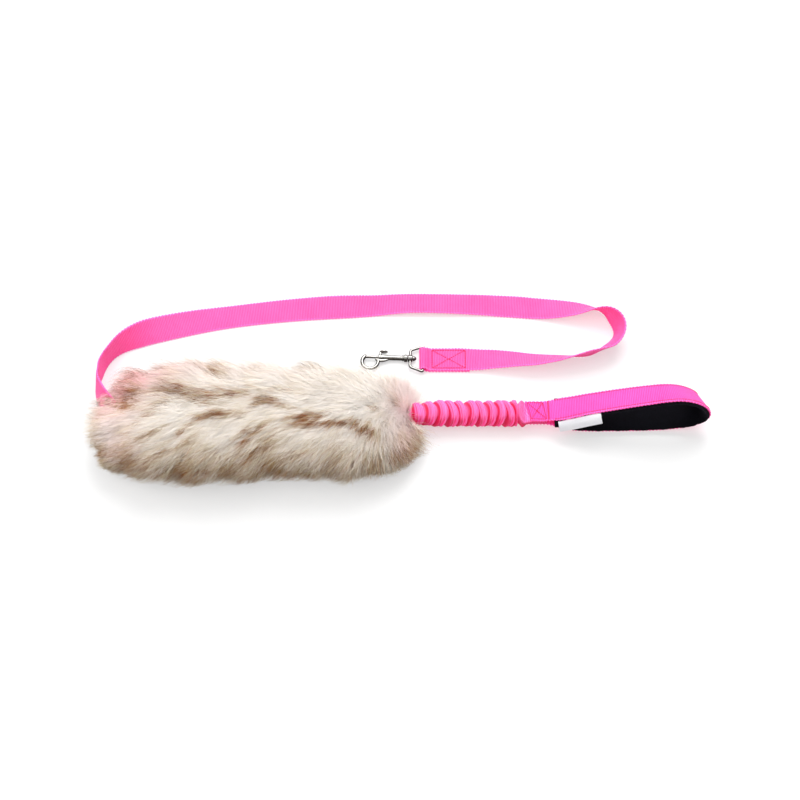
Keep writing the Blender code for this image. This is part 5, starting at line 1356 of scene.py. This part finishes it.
def hair_piece(name, line, across, widths, tone, pink_glow_paint, normal):
    """Flat strands: at t the half width is w/2 (1 - t)^(1/2), and the tip is one point. UVs hold tone and painted strap
    glow.

    A strand is lit as part of the coat: its shading normal is the coat's own, raised a little towards the sky,
    less a share of its run along the strand.
    """
    count = len(line)
    t = np.linspace(0, 1, NODES)[:-1]
    half = (widths[:, None] / 2 * np.sqrt(1 - t)[None])[..., None] * across[:, :-1]
    sides = np.stack([line[:, :-1] - half, line[:, :-1] + half], axis=2).reshape(count, -1, 3)
    points = np.concatenate([sides, line[:, -1:]], axis=1)
    node_of = [0, 0, 1, 1, 2, 2, 3]
    base = (np.arange(count) * len(node_of))[:, None, None]
    quads = (np.array([[0, 1, 3, 2], [2, 3, 5, 4]])[None] + base).reshape(-1, 4)
    tips = (np.array([4, 5, 6])[None] + base[:, 0]).reshape(-1, 3)
    u = np.clip(tone[:, node_of], 0.005, 0.995)
    v = np.clip(pink_glow_paint[:, None] + np.array([-1, 1, -1, 1, -1, 1, 0])[None] * 0.012, 0.002, 0.998)
    uv = np.stack([u, v], axis=-1).reshape(-1, 2)
    made = put_mesh(name, points.reshape(-1, 3), [quads, tips], rabbit_hair, [uv[quads], uv[tips]], "strand")
    copied = made.data.uv_layers.new(name="OFBake")
    copied.data.foreach_set("uv", np.concatenate([uv[quads].reshape(-1), uv[tips].reshape(-1)]).astype(np.float32))
    along = unit(np.gradient(line, axis=1))
    lit = normal[:, None] + np.array([0.0, 0.0, 0.50])
    lit = unit(lit - 0.6 * along * (along * normal[:, None]).sum(axis=-1, keepdims=True))[:, node_of]
    shading = made.data.attributes.new("custom_normal", "FLOAT_VECTOR", "POINT")
    shading.data.foreach_set("vector", lit.reshape(-1).astype(np.float32))
    belongs(made, "tug", "fur_cover")
    return made


# Undercoat, coat and long guard hairs: share of all strands, length and width in mm, dark tips, stand and seed.
COATS = [(0.42, 15, 0.30, 0.00, 0.92, 101), (0.44, 20, 0.24, 0.00, 0.96, 202), (0.14, 27, 0.19, 0.50, 1.05, 303)]
fewer = 1.0
coats = [grow(int(HAIRS * part), length * MM, width * MM * fewer, tip, stand, seed)
         for part, length, width, tip, stand, seed in COATS]
hairs = [np.concatenate([coat[k] for coat in coats]) for k in range(6)]
order = np.random.default_rng(5).permutation(len(hairs[0]))
parts = np.array_split(order, max(1, math.ceil(len(order) / PER_PIECE)))
for number, part in enumerate(parts):
    hair_piece(f"fur_hair_{number + 1}", *(values[part] for values in hairs))
print("hairs:", len(order), "in pieces of", len(parts[0]))

# %% [markdown]
# ## What the hair and the sleeve hide
# A few measured parts stay as they are, because their shapes are right: the stuffed core, its
# strap, the bungee cord, its binding and crimp and the inner seams. They only get finishes of
# their own, for when the tug is opened up or turned.

# %% Finishes of the inner parts
INNER_YARNS = [
    ("tug_core", "recycled_fleece_stuffing", "#DAD4CA", "#BDB5A8", 110.0, 0.95, "DIAGONAL"),
    ("core_strap", "woven_nylon_strap_plain", "#FF6FC4", "#E8348A", 105.0, 0.6, "X"),
    ("tug_binding", "waxed_linen_binding", "#DDD1BA", "#A8997C", 300.0, 0.6, "X"),
    ("pelt_seam_thread", "waxed_linen_thread", "#E6DBC6", "#B3A486", 400.0, 0.6, "DIAGONAL"),
    ("bungee_cord", "braided_polyester_over_rubber", "#3A3A42", "#17171B", 160.0, 0.65, "DIAGONAL")]
inner_finishes = {node: yarn_material(name, light, dark, (scale, 2.0, 2.0), {"Roughness": rough}, bands)
                  for node, name, light, dark, scale, rough, bands in INNER_YARNS}
inner_finishes.update(anchor_stitching=pink_thread, cord_crimp=spring_steel)
for node_name, finish in inner_finishes.items():
    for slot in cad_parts[node_name].material_slots:
        slot.material = finish
print("inner parts finished:", len(inner_finishes))
